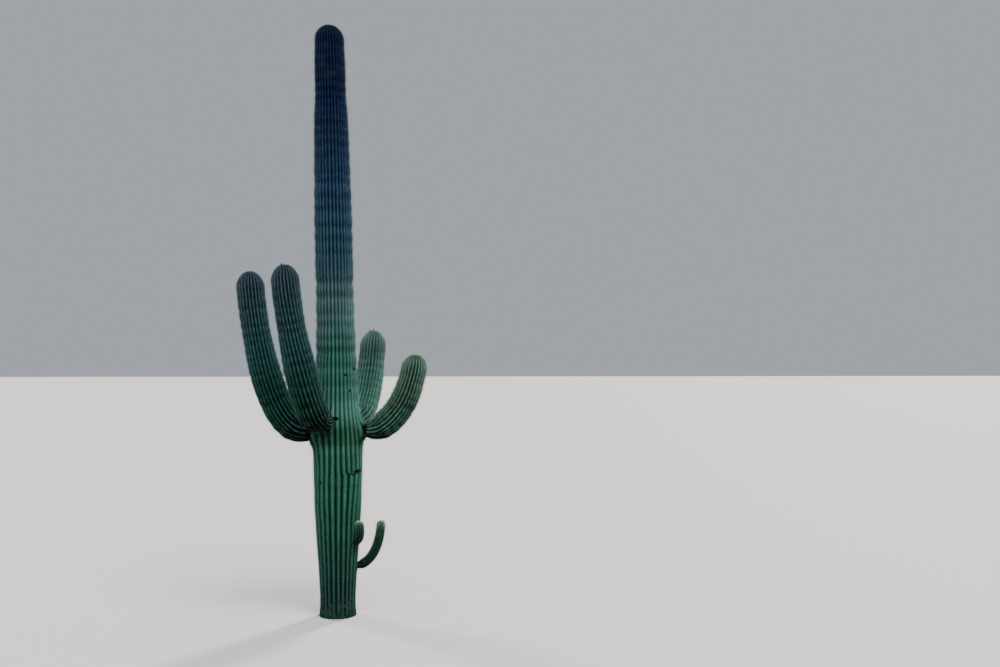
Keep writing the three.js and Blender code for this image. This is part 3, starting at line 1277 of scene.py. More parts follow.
    def unwrap(
        self, skin: bpy.types.Object, faces: Array, share: Array, round_count: int,
        centres: tuple[int, int]
    ) -> None:
        """Gives a stretch of the skin a texture map that runs round the limb and along it.

        Args:
            skin: The stretch.
            faces: Its faces.
            share: How far along it each row is, from 0 to 1.
            round_count: Number of columns.
            centres: The points in the middle of its two ends.
        """
        corners = len(skin.data.vertices)
        across = (np.arange(corners) % round_count) / round_count
        upward = np.full(corners, 1 - MAP_EDGE)
        upward[:len(share) * round_count] = np.repeat(MAP_EDGE + (1 - 2 * MAP_EDGE) * share, round_count)
        upward[len(share) * round_count:centres[0]] = MAP_EDGE
        across[list(centres)] = 0.5
        upward[list(centres)] = (0.0, 1.0)
        map_x, map_y = across[faces], upward[faces]
        wraps = (map_x.max(axis=1) - map_x.min(axis=1) > 0.5) & ~np.isin(faces, centres).any(axis=1)
        map_x[wraps] += (map_x[wraps] < 0.5)
        layer = skin.data.uv_layers.new(name="map")
        layer.data.foreach_set("uv", np.stack([map_x, map_y], axis=-1).astype(np.float32).ravel())

    def areoles(self) -> AreoleField:
        """Finds the areoles, each on the crest of a rib.

        Returns:
            The areoles of every rib.
        """
        bead_places, bead_counts = self.bead_table()
        part = np.array(AREOLE_ACROSS)
        found: list[AreoleField] = []
        for rib in range(self.pleats.ribs):
            stagger = self.pleats.stagger[rib]
            wanted = np.arange(1, int(bead_counts[-1] + stagger) - 1) - stagger
            along = np.interp(wanted, bead_counts, bead_places)
            along = along + self.pleats.random.normal(0, AREOLE_JITTER, len(along))
            along = np.clip(along, self.start, self.length - AREOLE_FROM_TIP)
            along = along[self.pleats.presence(along)[:, rib] > LEAST_RIB_FOR_AREOLES]
            ups = np.minimum(along + AREOLE_HALF, self.length - AREOLE_FROM_TIP / 2)
            middle = self.surface(along, part)[0][:, rib]
            above = self.surface(ups, part[1:2])[0][:, rib, 0]
            below = self.surface(along - AREOLE_HALF, part[1:2])[0][:, rib, 0]
            up = unit(above - below)
            out = unit(np.cross(middle[:, 2] - middle[:, 0], up))
            found.append(AreoleField(middle[:, 1], out, up, self.length - along, along / self.length))
        joined = (np.concatenate([getattr(each, name) for each in found]) for name in AREOLE_PARTS)
        return AreoleField(*joined)


@dataclass(frozen=True)
class ArmPlan:
    """The sizes of an arm, and how it leaves the trunk and turns up.

    It leaves at height and azimuth, where 0 is +X and 90 is +Y, tilted by launch above level, and bends to
    the tilt rise, with about two thirds of the bend in the length bend. Towards the tip curl adds tilt, and
    swing turns the azimuth. neck, belly and tip are radii at the trunk, at its thickest and under its round
    tip, and belly_at is the share of its length from which it slims. shoulder is how far the trunk swells
    below it, tip_height the round tip's height beside its radius, and nook and neck_length how far the
    painted shade at the root and the neck reach on an arm of full thickness. Its weight has sunk it by sag at
    the distance sag_at.
    """

    name: str
    height: float
    azimuth: float
    swing: float
    launch: float
    rise: float
    curl: float
    bend: float
    length: float
    neck: float
    belly: float
    belly_at: float
    tip: float
    ribs: int
    shoulder: float
    tip_height: float = 1.0
    nook: float = 0.026
    neck_length: float = 0.260
    sag: float = 0.0
    sag_at: float = 0.0
    sag_half: float = 0.300

    def sunk(self, along: Array | float) -> Array:
        """How far its weight has sunk the arm's middle line."""
        return self.sag * bump(along - self.sag_at, self.sag_half)

    @property
    def root_height(self) -> float:
        """Height of the middle of the arm's root."""
        return self.height - float(self.sunk(0.0))

    @property
    def size(self) -> float:
        """Thickness beside that of a big arm."""
        return self.belly / BIG_ARM_RADIUS


BIG_ARMS = (
    ArmPlan(
        "left_arm", height=2.380, azimuth=179, swing=4, launch=-12, rise=75, curl=12, bend=0.305,
        length=2.300, neck=0.136, belly=0.192, belly_at=0.38, tip=0.171, ribs=24, shoulder=0.040,
        tip_height=1.26, nook=0.090, sag=0.026, sag_at=0.150, sag_half=0.450,
    ),
    ArmPlan(
        "front_arm", height=2.500, azimuth=-120, swing=-24, launch=-4, rise=71, curl=15, bend=0.285,
        length=2.160, neck=0.104, belly=0.192, belly_at=0.38, tip=0.163, ribs=24, shoulder=0.026,
        tip_height=1.30, neck_length=0.330, sag=0.048, sag_at=0.160, sag_half=0.340,
    ),
    ArmPlan(
        "back_arm", height=2.440, azimuth=53, swing=0, launch=10, rise=80, curl=3, bend=0.260, length=1.365,
        neck=0.130, belly=0.181, belly_at=0.5, tip=0.168, ribs=24, shoulder=0.030, tip_height=1.20,
    ),
    ArmPlan(
        "right_arm", height=2.405, azimuth=-6, swing=0, launch=-22, rise=80, curl=8, bend=0.400, length=1.280,
        neck=0.090, belly=0.174, belly_at=0.5, tip=0.162, ribs=24, shoulder=0.040,
        tip_height=1.15, nook=0.088, neck_length=0.330, sag=0.040,
    ),
)
YOUNG_ARMS = (
    ArmPlan(
        "young_arm", height=0.620, azimuth=4, swing=0, launch=4, rise=90, curl=4, bend=0.262, length=0.690,
        neck=0.042, belly=0.058, belly_at=0.6, tip=0.055, ribs=13, shoulder=0.008,
    ),
    ArmPlan(
        "sprout", height=0.945, azimuth=-36, swing=0, launch=12, rise=92, curl=0, bend=0.055, length=0.287,
        neck=0.046, belly=0.062, belly_at=0.5, tip=0.056, ribs=13, shoulder=0.006,
    ),
)

# The narrow rings of each arm's slow years, by distance from its root, with the strength of each
RINGS = {
    "left_arm": (
        (0.204, 1.0), (0.309, 0.8), (0.424, 0.7), (0.609, 1.4), (0.729, 0.8), (0.864, 0.5), (0.989, 1.1),
        (1.084, 0.5), (1.164, 0.9), (1.249, 0.5), (1.364, 0.8), (1.464, 0.7), (1.574, 1.2), (1.694, 0.7),
        (1.809, 0.9), (1.944, 0.7), (2.040, 0.5),
    ),
    "front_arm": (
        (0.220, 0.5), (0.340, 0.8), (0.480, 1.4), (0.600, 0.6), (0.719, 1.0), (0.839, 0.6), (0.974, 1.0),
        (1.089, 1.1), (1.189, 0.6), (1.259, 0.5), (1.364, 1.0), (1.454, 0.9), (1.564, 0.8), (1.649, 0.8),
        (1.754, 0.5), (1.859, 0.7), (1.930, 0.5),
    ),
    "back_arm": (
        (0.220, 0.5), (0.317, 0.7), (0.413, 0.6), (0.488, 0.4), (0.568, 0.5), (0.667, 0.9), (0.757, 0.8),
        (0.853, 0.9), (0.958, 1.0), (1.060, 0.7),
    ),
    "right_arm": (
        (0.080, 0.5), (0.210, 0.5), (0.305, 1.1), (0.410, 0.8), (0.510, 0.9), (0.605, 1.3), (0.715, 0.7),
        (0.810, 0.8), (0.925, 0.9), (1.000, 0.8),
    ),
    "young_arm": (
        (0.104, 0.6), (0.184, 0.9), (0.256, 0.6), (0.344, 1.0), (0.419, 0.7), (0.514, 0.9), (0.584, 0.4),
    ),
    "sprout": ((0.064, 0.6), (0.124, 0.9), (0.189, 0.5)),
}


@dataclass(frozen=True)
class Waist:
    """A shallow ring that a slow year left round the trunk."""

    height: float
    depth: float
    half: float


@dataclass(frozen=True)
class Scar:
    """A dent in the trunk with a corky lip, such as a bird's hole, a crack or an old bruise."""

    bearing: float
    height: float
    half_width: float
    half_height: float
    depth: float
    lip: float = 0.003

    def nearness(self, z: Array, bearing: Array, radius: Array) -> Array:
        """How far places are from the scar's middle.

        Args:
            z: Heights.
            bearing: Bearings in radians.
            radius: Distances from the trunk's middle.

        Returns:
            Distances, as shares of its half width or half height.
        """
        across = turn_between(bearing, math.radians(self.bearing)) * radius / self.half_width
        return np.hypot(across, (z - self.height) / self.half_height)


WAISTS = (
    Waist(1.180, 0.003, 0.060), Waist(1.620, 0.003, 0.060), Waist(2.020, 0.003, 0.060),
    Waist(2.915, 0.008, 0.054), Waist(3.150, 0.010, 0.048), Waist(3.356, 0.014, 0.050),
    Waist(3.505, 0.009, 0.042), Waist(3.685, 0.009, 0.050), Waist(3.818, 0.007, 0.046),
    Waist(4.050, 0.011, 0.052), Waist(4.240, 0.015, 0.056), Waist(4.413, 0.004, 0.046),
    Waist(4.605, 0.010, 0.048), Waist(4.755, 0.010, 0.048), Waist(4.935, 0.012, 0.052),
    Waist(5.150, 0.011, 0.050), Waist(5.307, 0.009, 0.046), Waist(5.515, 0.010, 0.050),
    Waist(5.626, 0.005, 0.042), Waist(5.832, 0.006, 0.050), Waist(6.000, 0.007, 0.045),
    Waist(6.141, 0.006, 0.042), Waist(6.270, 0.007, 0.042), Waist(6.387, 0.003, 0.036),
    Waist(6.492, 0.004, 0.036), Waist(6.596, 0.008, 0.038), Waist(6.702, 0.010, 0.040),
    Waist(6.830, 0.008, 0.040), Waist(6.947, 0.005, 0.038), Waist(7.055, 0.006, 0.038),
    Waist(7.194, 0.005, 0.036), Waist(7.312, 0.006, 0.036),
)

# How far the trunk swells between its waists, and the heights over which that sets in
WAIST_SWELL = 0.0045
WAIST_SWELL_FROM = 3.200
WAIST_SWELL_TO = 3.600

# The birds' holes first, then the slot with its small crack, then two old bruises
SCARS = (
    Scar(-23, 3.136, 0.026, 0.021, 0.050), Scar(-63, 3.060, 0.012, 0.013, 0.035),
    Scar(-51, 2.863, 0.015, 0.017, 0.045), Scar(-14, 2.672, 0.018, 0.020, 0.050),
    Scar(-95, 2.512, 0.029, 0.019, 0.045, lip=0.001), Scar(124, 3.320, 0.019, 0.020, 0.050),
    Scar(152, 2.960, 0.017, 0.018, 0.045), Scar(-34, 1.836, 0.064, 0.021, 0.045, lip=0.001),
    Scar(-50, 1.806, 0.036, 0.009, 0.024, lip=0.001), Scar(-136, 1.705, 0.016, 0.020, 0.012, lip=0.002),
    Scar(-145, 1.460, 0.050, 0.012, 0.008, lip=0.002),
)
TRUNK_RIB_ENDS = [
    RibEnd(-32, 2.140, 0.180), RibEnd(-61, 1.800, 0.035), RibEnd(-127, 2.300, 0.200),
    RibEnd(-156, 2.260, 0.200), RibEnd(84, 2.240, 0.200), RibEnd(128, 1.900, 0.160),
]


def trunk_lean(z: Array | float) -> Array:
    """X of the trunk's middle.

    Args:
        z: Heights.

    Returns:
        The middle's x at each height.
    """
    past = np.clip(z - LEAN_STARTS, -LEAN_BLEND, LEAN_BLEND)
    knee = (past + LEAN_BLEND) ** 2 / (4 * LEAN_BLEND) + np.maximum(0, z - LEAN_STARTS - LEAN_BLEND)
    return -(FOOT_LEAN * z + UPPER_LEAN * knee)


def round_trunk(places: Array) -> tuple[Array, Array, Array]:
    """Tells where places lie round the trunk's middle.

    Args:
        places: Points as rows of x, y, z.

    Returns:
        Their heights, their bearings in radians and their distances from the middle.
    """
    x, y, z = places.T
    x = x - trunk_lean(z)
    return z, np.arctan2(y, x), np.hypot(x, y)


class Trunk(Limb):
    """The trunk, cut flat at the ground."""

    # How far the finer rows reach at scars and rib ends, and how many there are to half a scar and to a taper
    SCAR_ROWS_REACH = 1.9
    SCAR_ROWS = 4
    END_ROWS_REACH = 0.75
    END_ROWS = 8
    FINEST_ROW = 0.005

    def __init__(self, random: Random) -> None:
        """Sets the trunk's sizes.

        Args:
            random: Source of its small irregularities.
        """
        pleats = Pleats(
            ribs=30, ends=TRUNK_RIB_ENDS, random=random, first=math.radians(-96), depth=0.42,
            low_blunt=4.2, high_blunt=1.9, twist=math.radians(4), change_from=2.3, change_to=3.7,
        )
        details = [
            (scar.height, self.SCAR_ROWS_REACH * scar.half_height, scar.half_height / self.SCAR_ROWS)
            for scar in SCARS
        ]
        for end in TRUNK_RIB_ENDS:
            step = max(self.FINEST_ROW, end.taper / self.END_ROWS)
            details.append((end.at + end.taper / 2, self.END_ROWS_REACH * end.taper, step))
        details.append(FOOT_DETAIL)
        super().__init__(
            "trunk", ["trunk"], "trunk_flesh", TRUNK_FINISH, DRESSES["trunk"], PLANT_HEIGHT, TRUNK_DOME, 0.0,
            pleats, TRUNK_ROWS, dome_rows=14, cuts=(TRUNK_CUT,), details=details,
        )

    def crest_radius(self, along: Array, bearing: Array) -> Array:
        """Distance of the crests from the trunk's middle, with its waists and its swellings under the arms.

        Args:
            along: Heights.
            bearing: Bearings in radians.

        Returns:
            The radius at each place.
        """
        radius = through(TRUNK_RADII, np.minimum(along, self.length - self.dome))
        for waist in WAISTS:
            radius = radius - waist.depth * bump(along - waist.height, waist.half)
        above = (along - WAIST_SWELL_FROM) / (WAIST_SWELL_TO - WAIST_SWELL_FROM)
        swollen = radius + WAIST_SWELL * smooth(above)
        for arm in BIG_ARMS + YOUNG_ARMS:
            away = turn_between(bearing, math.radians(arm.azimuth)) * radius
            below = along - arm.height + SHOULDER_DROP * arm.size
            rise = bump(below, SHOULDER_HALF_HEIGHT * arm.size)
            swollen = swollen + arm.shoulder * rise * bump(away, SHOULDER_HALF_WIDTH * arm.size)
        return swollen * self.dome_share(along)

    def carry(self, along: Array, bearing: Array, radius: Array) -> Array:
        """Carries places round the trunk's middle to the plant's frame.

        Args:
            along: Heights.
            bearing: Bearings in radians.
            radius: Distances from the middle.

        Returns:
            Points.
        """
        x = trunk_lean(along) + radius * np.cos(bearing)
        y = radius * np.sin(bearing)
        return np.stack(np.broadcast_arrays(x, y, along), axis=-1)

    def weathered(self, along: Array, bearing: Array, radius: Array) -> Array:
        """Sinks the scars into the trunk.

        Args:
            along: Heights.
            bearing: Bearings in radians.
            radius: Distances from the middle.

        Returns:
            The distances with the scars.
        """
        crest = self.crest_radius(along, bearing)
        for scar in SCARS:
            near = scar.nearness(along, bearing, crest)
            inside = smooth((SCAR_RIM - near) / SCAR_SLOPE)
            radius = radius + (crest - SCAR_SKIN - scar.depth - radius) * inside
            radius = radius + scar.lip * bump(near - SCAR_LIP_AT, SCAR_LIP_HALF)
        return radius + self.collar(along, bearing)

    def collar(self, along: Array, bearing: Array) -> Array:
        """How far the trunk's flesh stands out round the roots of the arms.

        Args:
            along: Heights.
            bearing: Bearings in radians.

        Returns:
            Heights above the plain trunk.
        """
        rise = np.zeros(np.broadcast(along, bearing).shape)
        for arm in BIG_ARMS:
            across = turn_between(bearing, math.radians(arm.azimuth)) * TRUNK_ROOT_RADIUS
            away = np.hypot(across, along - arm.root_height) / arm.neck
            rise = np.maximum(rise, COLLAR_RISE * bump(away - COLLAR_AT, COLLAR_HALF))
        return rise

    def cork(self, along: Array, bearing: Array) -> Array:
        """How corky the trunk is: at its foot, in its scars and round the roots of the arms.

        Args:
            along: Heights.
            bearing: Bearings in radians.

        Returns:
            Cork from 0 to 1.
        """
        crest = self.crest_radius(along, bearing)
        corky = FOOT_CORK * smooth((FOOT_CORK_HEIGHT - along) / FOOT_CORK_HEIGHT) + 0 * bearing
        for scar in SCARS:
            edge = smooth((SCAR_CORK_REACH - scar.nearness(along, bearing, crest)) / SCAR_CORK_EDGE)
            corky = np.maximum(corky, edge * min(1.0, scar.depth / SCAR_CORKED_FROM))
        for arm in BIG_ARMS + YOUNG_ARMS:
            across = turn_between(bearing, math.radians(arm.azimuth)) * crest
            away = np.hypot(across, along - arm.root_height) / arm.neck
            corky = np.maximum(corky, ROOT_CORK * smooth((ROOT_CORK_REACH - away) / ROOT_CORK_EDGE))
        return corky

    def under(self, along: Array, bearing: Array) -> Array:
        """How much shade is painted in the nooks round the arms' roots, and how much painted shadow under
        them.

        Args:
            along: Heights.
            bearing: Bearings in radians.

        Returns:
            Shares from 0 to 1, and up to NOOK_SHADE in the nooks.
        """
        crest = self.crest_radius(along, bearing)
        painted_shading = 0 * crest
        for arm in BIG_ARMS + YOUNG_ARMS:
            across = turn_between(bearing, math.radians(arm.azimuth)) * crest
            below = (arm.root_height - along) / arm.neck
            nook = NOOK_SHADE * smooth((NOOK_REACH - np.hypot(across / arm.neck, below)) / NOOK_EDGE)
            fade = 1 - smooth((below - BENEATH_FROM) / BENEATH_FADE)
            beneath = bump(across, BENEATH_HALF * arm.neck) * smooth(below) * fade
            painted_shading = np.maximum(painted_shading, np.maximum(nook, BENEATH_SHADE * beneath))
        return painted_shading

    def wound(self, along: Array, bearing: Array) -> Array:
        """How near the bottom of a scar the skin is.

        Args:
            along: Heights.
            bearing: Bearings in radians.

        Returns:
            Shares from 0 to 1.
        """
        crest = self.crest_radius(along, bearing)
        deepest = 0 * crest
        for scar in SCARS:
            inside = smooth((SCAR_DARK_REACH - scar.nearness(along, bearing, crest)) / SCAR_DARK_EDGE)
            deepest = np.maximum(deepest, inside * min(1.0, scar.depth / SCAR_CORKED_FROM))
        return deepest


class Arm(Limb):
    """An arm that bends up from the trunk."""

    def __init__(
        self, plan: ArmPlan, finish: FleshFinish, slot: str, nodes: list[str], random: Random,
        trunk: Trunk
    ) -> None:
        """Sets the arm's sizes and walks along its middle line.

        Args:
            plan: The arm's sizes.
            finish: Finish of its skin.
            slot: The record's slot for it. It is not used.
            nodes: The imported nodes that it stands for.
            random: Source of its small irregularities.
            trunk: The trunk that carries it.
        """
        late = [
            RibEnd(
                360 * (rib + 0.5) / plan.ribs, plan.size * random.uniform(*LATE_RIB_FROM),
                LATE_RIB_TAPER * plan.size,
            )
            for rib in range(1, plan.ribs, LATE_RIB_EVERY)
        ]
        pleats = Pleats(ribs=plan.ribs, ends=late, random=random, low_blunt=1.8, high_blunt=1.55, settle=0.4)
        step = YOUNG_ARM_ROW if plan in YOUNG_ARMS else ARM_ROW
        super().__init__(
            plan.name, nodes, slot, finish, DRESSES[plan.name], plan.length, plan.tip * plan.tip_height,
            -ROOT_INSIDE, pleats, ((math.inf, step),),
        )
        self.plan = plan
        self.ring_turns = random.uniform(0, math.tau, len(RINGS[plan.name]))
        out = math.radians(plan.azimuth)
        root = float(trunk.crest_radius(np.array(plan.height), np.array(out))) - ROOT_INSIDE
        drop = ROOT_INSIDE * math.tan(math.radians(plan.launch))
        foot_x = root * math.cos(out) + trunk_lean(plan.height)
        foot = np.array([foot_x, root * math.sin(out), plan.height - drop])
        steps = np.arange(-ROOT_INSIDE, plan.length + 2 * LINE_STEP, LINE_STEP)
        walked = np.cumsum(self.directions(steps + LINE_STEP / 2)[0] * LINE_STEP, axis=0)
        self.line_along = np.append(steps, steps[-1] + LINE_STEP)
        self.line = foot + np.concatenate([np.zeros((1, 3)), walked])

    def directions(self, along: Array) -> tuple[Array, Array, Array]:
        """The frame that the arm's cross-sections lie in.

        Args:
            along: Distances along the arm.

        Returns:
            The heading, the level direction across it, and the direction square to both.
        """
        plan = self.plan
        out = np.maximum(0, along)
        turned = 1 - np.exp(-out / plan.bend)
        curled = plan.curl * (out / plan.length) ** 2
        tilt = np.radians(plan.launch + (plan.rise - plan.launch) * turned + curled)
        azimuth = np.radians(plan.azimuth + plan.swing * smooth(along / plan.length))
        level = np.cos(tilt)
        heading = np.stack([level * np.cos(azimuth), level * np.sin(azimuth), np.sin(tilt)], axis=-1)
        side = np.stack([-np.sin(azimuth), np.cos(azimuth), np.zeros_like(azimuth)], axis=-1)
        return heading, side, np.cross(heading, side)

    def middle(self, along: Array) -> Array:
        """Points of the arm's middle line.

        Args:
            along: Distances along the arm.

        Returns:
            Points.
        """
        parts = [np.interp(along, self.line_along, values) for values in self.line.T]
        points = np.stack(parts, axis=-1)
        points[..., 2] -= self.plan.sunk(along)
        return points

    def swelled(self, along: Array) -> Array:
        """How far the neck has swelled, from 0 at the trunk to 1."""
        return smooth(along / (self.plan.neck_length * self.plan.size))

    def rib_share(self, along: Array) -> Array:
        """Share of the full groove depth, which is less at the neck."""
        return NECK_RIB_SHARE + (1 - NECK_RIB_SHARE) * self.swelled(along)

    def crest_radius(self, along: Array, bearing: Array) -> Array:
        """Distance of the crests from the arm's middle.

        Args:
            along: Distances along the arm.
            bearing: Bearings in radians.

        Returns:
            The radius at each place.
        """
        plan = self.plan
        full = plan.neck + (plan.belly - plan.neck) * self.swelled(along)
        slimmed = (plan.belly - plan.tip) * smooth((along / plan.length - plan.belly_at) / SLIMMING)
        years = 0 * along
        for (ring, strength), turn in zip(RINGS[plan.name], self.ring_turns):
            patchy = strength * (1 + RING_PATCHES * np.cos(RING_PATCH_COUNT * bearing - turn))
            place = (along - ring) / plan.size + RING_WANDER * np.sin(RING_BENDS * bearing + turn)
            years = years + RING_DEPTH * plan.size * patchy * bump(place, RING_HALF)
        swell = RING_SWELL * plan.size * self.swelled(along)
        return (full - slimmed - years + swell) * self.dome_share(along) + 0 * bearing

    def carry(self, along: Array, bearing: Array, radius: Array) -> Array:
        """Carries places round the arm's middle to the plant's frame.

        Args:
            along: Distances along the arm.
            bearing: Bearings in radians.
            radius: Distances from the middle.

        Returns:
            Points.
        """
        _, side, inward = self.directions(along)
        across = (radius * np.cos(bearing))[..., None] * side
        return self.middle(along) + across + (radius * np.sin(bearing))[..., None] * inward

    def cork(self, along: Array, bearing: Array) -> Array:
        """How corky the arm is, which is at its root.

        Args:
            along: Distances along the arm.
            bearing: Bearings in radians.

        Returns:
            Cork from 0 to 1.
        """
        size = self.plan.size
        return ARM_CORK * smooth((ARM_CORK_REACH * size - along) / (ARM_CORK_EDGE * size)) + 0 * bearing

    def under(self, along: Array, bearing: Array) -> Array:
        """How much shade is painted where the skin faces the ground, or in the nook at the arm's root.

        Args:
            along: Distances along the arm.
            bearing: Bearings in radians.

        Returns:
            Shares from 0 to 1, and up to NOOK_SHADE in the nook.
        """
        heading = self.directions(along)[0]
        level = np.hypot(heading[..., 0], heading[..., 1])
        facing = -np.sin(bearing) * level
        nook = smooth((self.plan.nook - along / self.plan.size) / NOOK_FADE)
        lit = NOOK_LIT_SHARE * smooth((-facing - NOOK_LIT_FROM) / (1 - NOOK_LIT_FROM))
        return np.maximum(smooth(facing / DOWNWARD_FULL), NOOK_SHADE * nook * (1 - lit))

    def holds(self, points: Array) -> Array:
        """Tells which points lie inside the arm's root.

        Args:
            points: Points in the plant's frame.

        Returns:
            True for each point inside.
        """
        along = np.arange(*HELD_STRETCH)
        middle = self.middle(along)
        radius = self.crest_radius(along, along * 0)
        apart = np.linalg.norm(points[:, None] - middle[None], axis=-1)
        return (apart < radius * HELD_SHARE).any(axis=1)


# The odds of each tone of spines at a number of darknesses, and on worn areoles
SHADOW_STOPS = (0.0, 0.2, 0.4, 0.6, 1.0)
TONE_ODDS = {
    SpineTone.CREAM: (0.75, 0.00, 0.00, 0.00, 0.00),
    SpineTone.SILVER: (0.25, 0.75, 0.05, 0.00, 0.00),
    SpineTone.GREY: (0.00, 0.25, 0.85, 0.25, 0.00),
    SpineTone.SLATE: (0.00, 0.00, 0.10, 0.65, 0.20),
}
WORN_ODDS = (0.0, 0.0, 0.3, 0.34)

# Painted shade on areoles that face the ground, and the facing towards the rim lamps behind from which
# painted light makes them paler
SHADOW_BELOW = 0.5
PAINTED_LIGHT_FROM = 0.35
PAINTED_LIGHT_FADE = 0.5


@dataclass(frozen=True)
class SpineStar:
    """The spines of one areole: a ring that lies near the skin, and a few longer ones that stand out.

    Ranges give the shortest and longest beside the length. thickness is a spine's radius at its foot, and
    the shares are those of the two kinds beside it. Lifts are angles from the skin, and wobbles how much
    angles vary, in radians for turn_wobble. Where the areole is worn, spines break and get shorter. The
    pad's width and height are halves.
    """

    radials: int = 7
    centrals: int = 3
    radial_length: float = 0.019
    central_length: float = 0.036
    radial_range: tuple[float, float] = (0.75, 1.2)
    central_range: tuple[float, float] = (0.65, 1.15)
    radial_lift: float = 24.0
    central_lift: float = 58.0
    radial_wobble: float = 8.0
    central_wobble: float = 12.0
    turn_wobble: float = 0.16
    thickness: float = 0.00082
    radial_share: float = 0.8
    central_share: float = 1.15
    foot_rise: float = 0.0012
    foot_apart: float = 0.0025
    broken_odds: float = 0.6
    broken_length: float = 0.35
    worn_shorter: float = 0.3
    pad_width: float = 0.0050
    pad_height: float = 0.0066
    pad_rise: float = 0.0028
    pad_sunk: float = 0.001

    # Number of a spine's sides and of the corners of a pad's rim, and how far off straight out the direction
    # is that a spine's sides are turned by, so that no spine points along it
    SPINE_SIDES = 3
    PAD_CORNERS = 6
    OFF_AXIS = 0.3

    def build(self, limb: Limb, field_of: AreoleField, worn: Array, random: Random) -> None:
        """Builds the pads and the spines of many areoles, joined by tone.

        Args:
            limb: The limb.
            field_of: The areoles.
            worn: How worn each areole is, from 0 to 1.
            random: Source of the spines' irregularities.
        """
        name = limb.name
        side = np.cross(field_of.up, field_of.out)
        # Painted shade darkens the pads and spines along the limb and where they face the ground, and painted
        # light pales those that face the rim lamps behind
        below = SHADOW_BELOW * smooth(-field_of.out[:, 2] / DOWNWARD_FULL)
        shadow = through(limb.dress.shadow, field_of.reach) + below
        painted_light = limb.dress.painted_light * smooth((field_of.out[:, 1] + PAINTED_LIGHT_FROM) / PAINTED_LIGHT_FADE)
        shadow = np.clip(shadow - painted_light, 0, 1)
        tip_size = limb.dress.tip_size
        sizes = limb.dress.size * (tip_size + (1 - tip_size) * smooth(field_of.from_tip / TIP_ZONE))
        dark = random.random(len(side)) < shadow
        for tone, chosen in ((FeltTone.PALE, ~dark), (FeltTone.DARK, dark)):
            title = f"{name}_{tone.value.name}"
            self.build_pads(title, tone, field_of.keep(chosen), side[chosen], sizes[chosen])
        tones = self.deal(shadow, worn, random)
        for index, tone in enumerate((*TONE_ODDS, limb.dress.darkest)):
            chosen = np.flatnonzero(tones == index)
            if len(chosen) == 0:
                continue
            per_areole = self.SPINE_SIDES * (self.radials + self.centrals)
            parts = math.ceil(len(chosen) * per_areole / FACE_LIMIT)
            for part, group in enumerate(np.array_split(chosen, parts)):
                chosen_field = field_of.keep(group)
                points, faces = self.spines(chosen_field, side[group], worn[group], sizes[group], random)
                title = f"{name}_{tone.value.name}_{part + 1}"
                piece = joined_mesh(title, points, faces, SHELF.take(tone.value), shade_smooth=False)
                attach(piece, BODY)
                LOG.info("%s: %d faces", title, len(faces))

    def deal(self, shadow: Array, worn: Array, random: Random) -> Array:
        """Deals a tone to each areole by its darkness and wear, the limb's darkest to those left over.

        Args:
            shadow: Darkness from 0 to 1.
            worn: Wear from 0 to 1.
            random: Source of the draws.

        Returns:
            The number of each areole's tone.
        """
        by_tone = [np.interp(shadow, SHADOW_STOPS, tone_odds) for tone_odds in TONE_ODDS.values()]
        odds = np.stack(by_tone, axis=1)
        odds = odds + (np.array(WORN_ODDS) - odds) * worn[:, None]
        return (np.cumsum(odds, axis=1) < random.random((len(shadow), 1))).sum(axis=1)

    def build_pads(
        self, name: str, tone: FeltTone, field_of: AreoleField, side: Array, sizes: Array
    ) -> None:
        """Builds the felt pads of many areoles as one mesh of low domes.

        Args:
            name: Name of the piece.
            tone: The pads' colour.
            field_of: The areoles.
            side: The direction across each.
            sizes: Size of each beside that on the trunk.
        """
        if len(side) == 0:
            return
        many = self.PAD_CORNERS
        turns = np.arange(many) * 2 * math.pi / many
        ring_side = np.cos(turns)[None, :, None] * self.pad_width * side[:, None]
        ring_up = np.sin(turns)[None, :, None] * self.pad_height * field_of.up[:, None]
        rim = field_of.place[:, None] - self.pad_sunk * field_of.out[:, None]
        ring = rim + (ring_side + ring_up) * sizes[:, None, None]
        middle = field_of.place + self.pad_rise * field_of.out * sizes[:, None]
        points = np.concatenate([ring, middle[:, None]], axis=1).reshape(-1, 3)
        corner = np.arange(many)
        fan = np.stack([corner, (corner + 1) % many, np.full(many, many)], axis=1)
        faces = (fan[None] + (many + 1) * np.arange(len(middle))[:, None, None]).reshape(-1, 3)
        pads = joined_mesh(name, points, faces, SHELF.take(tone.value))
        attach(pads, BODY)

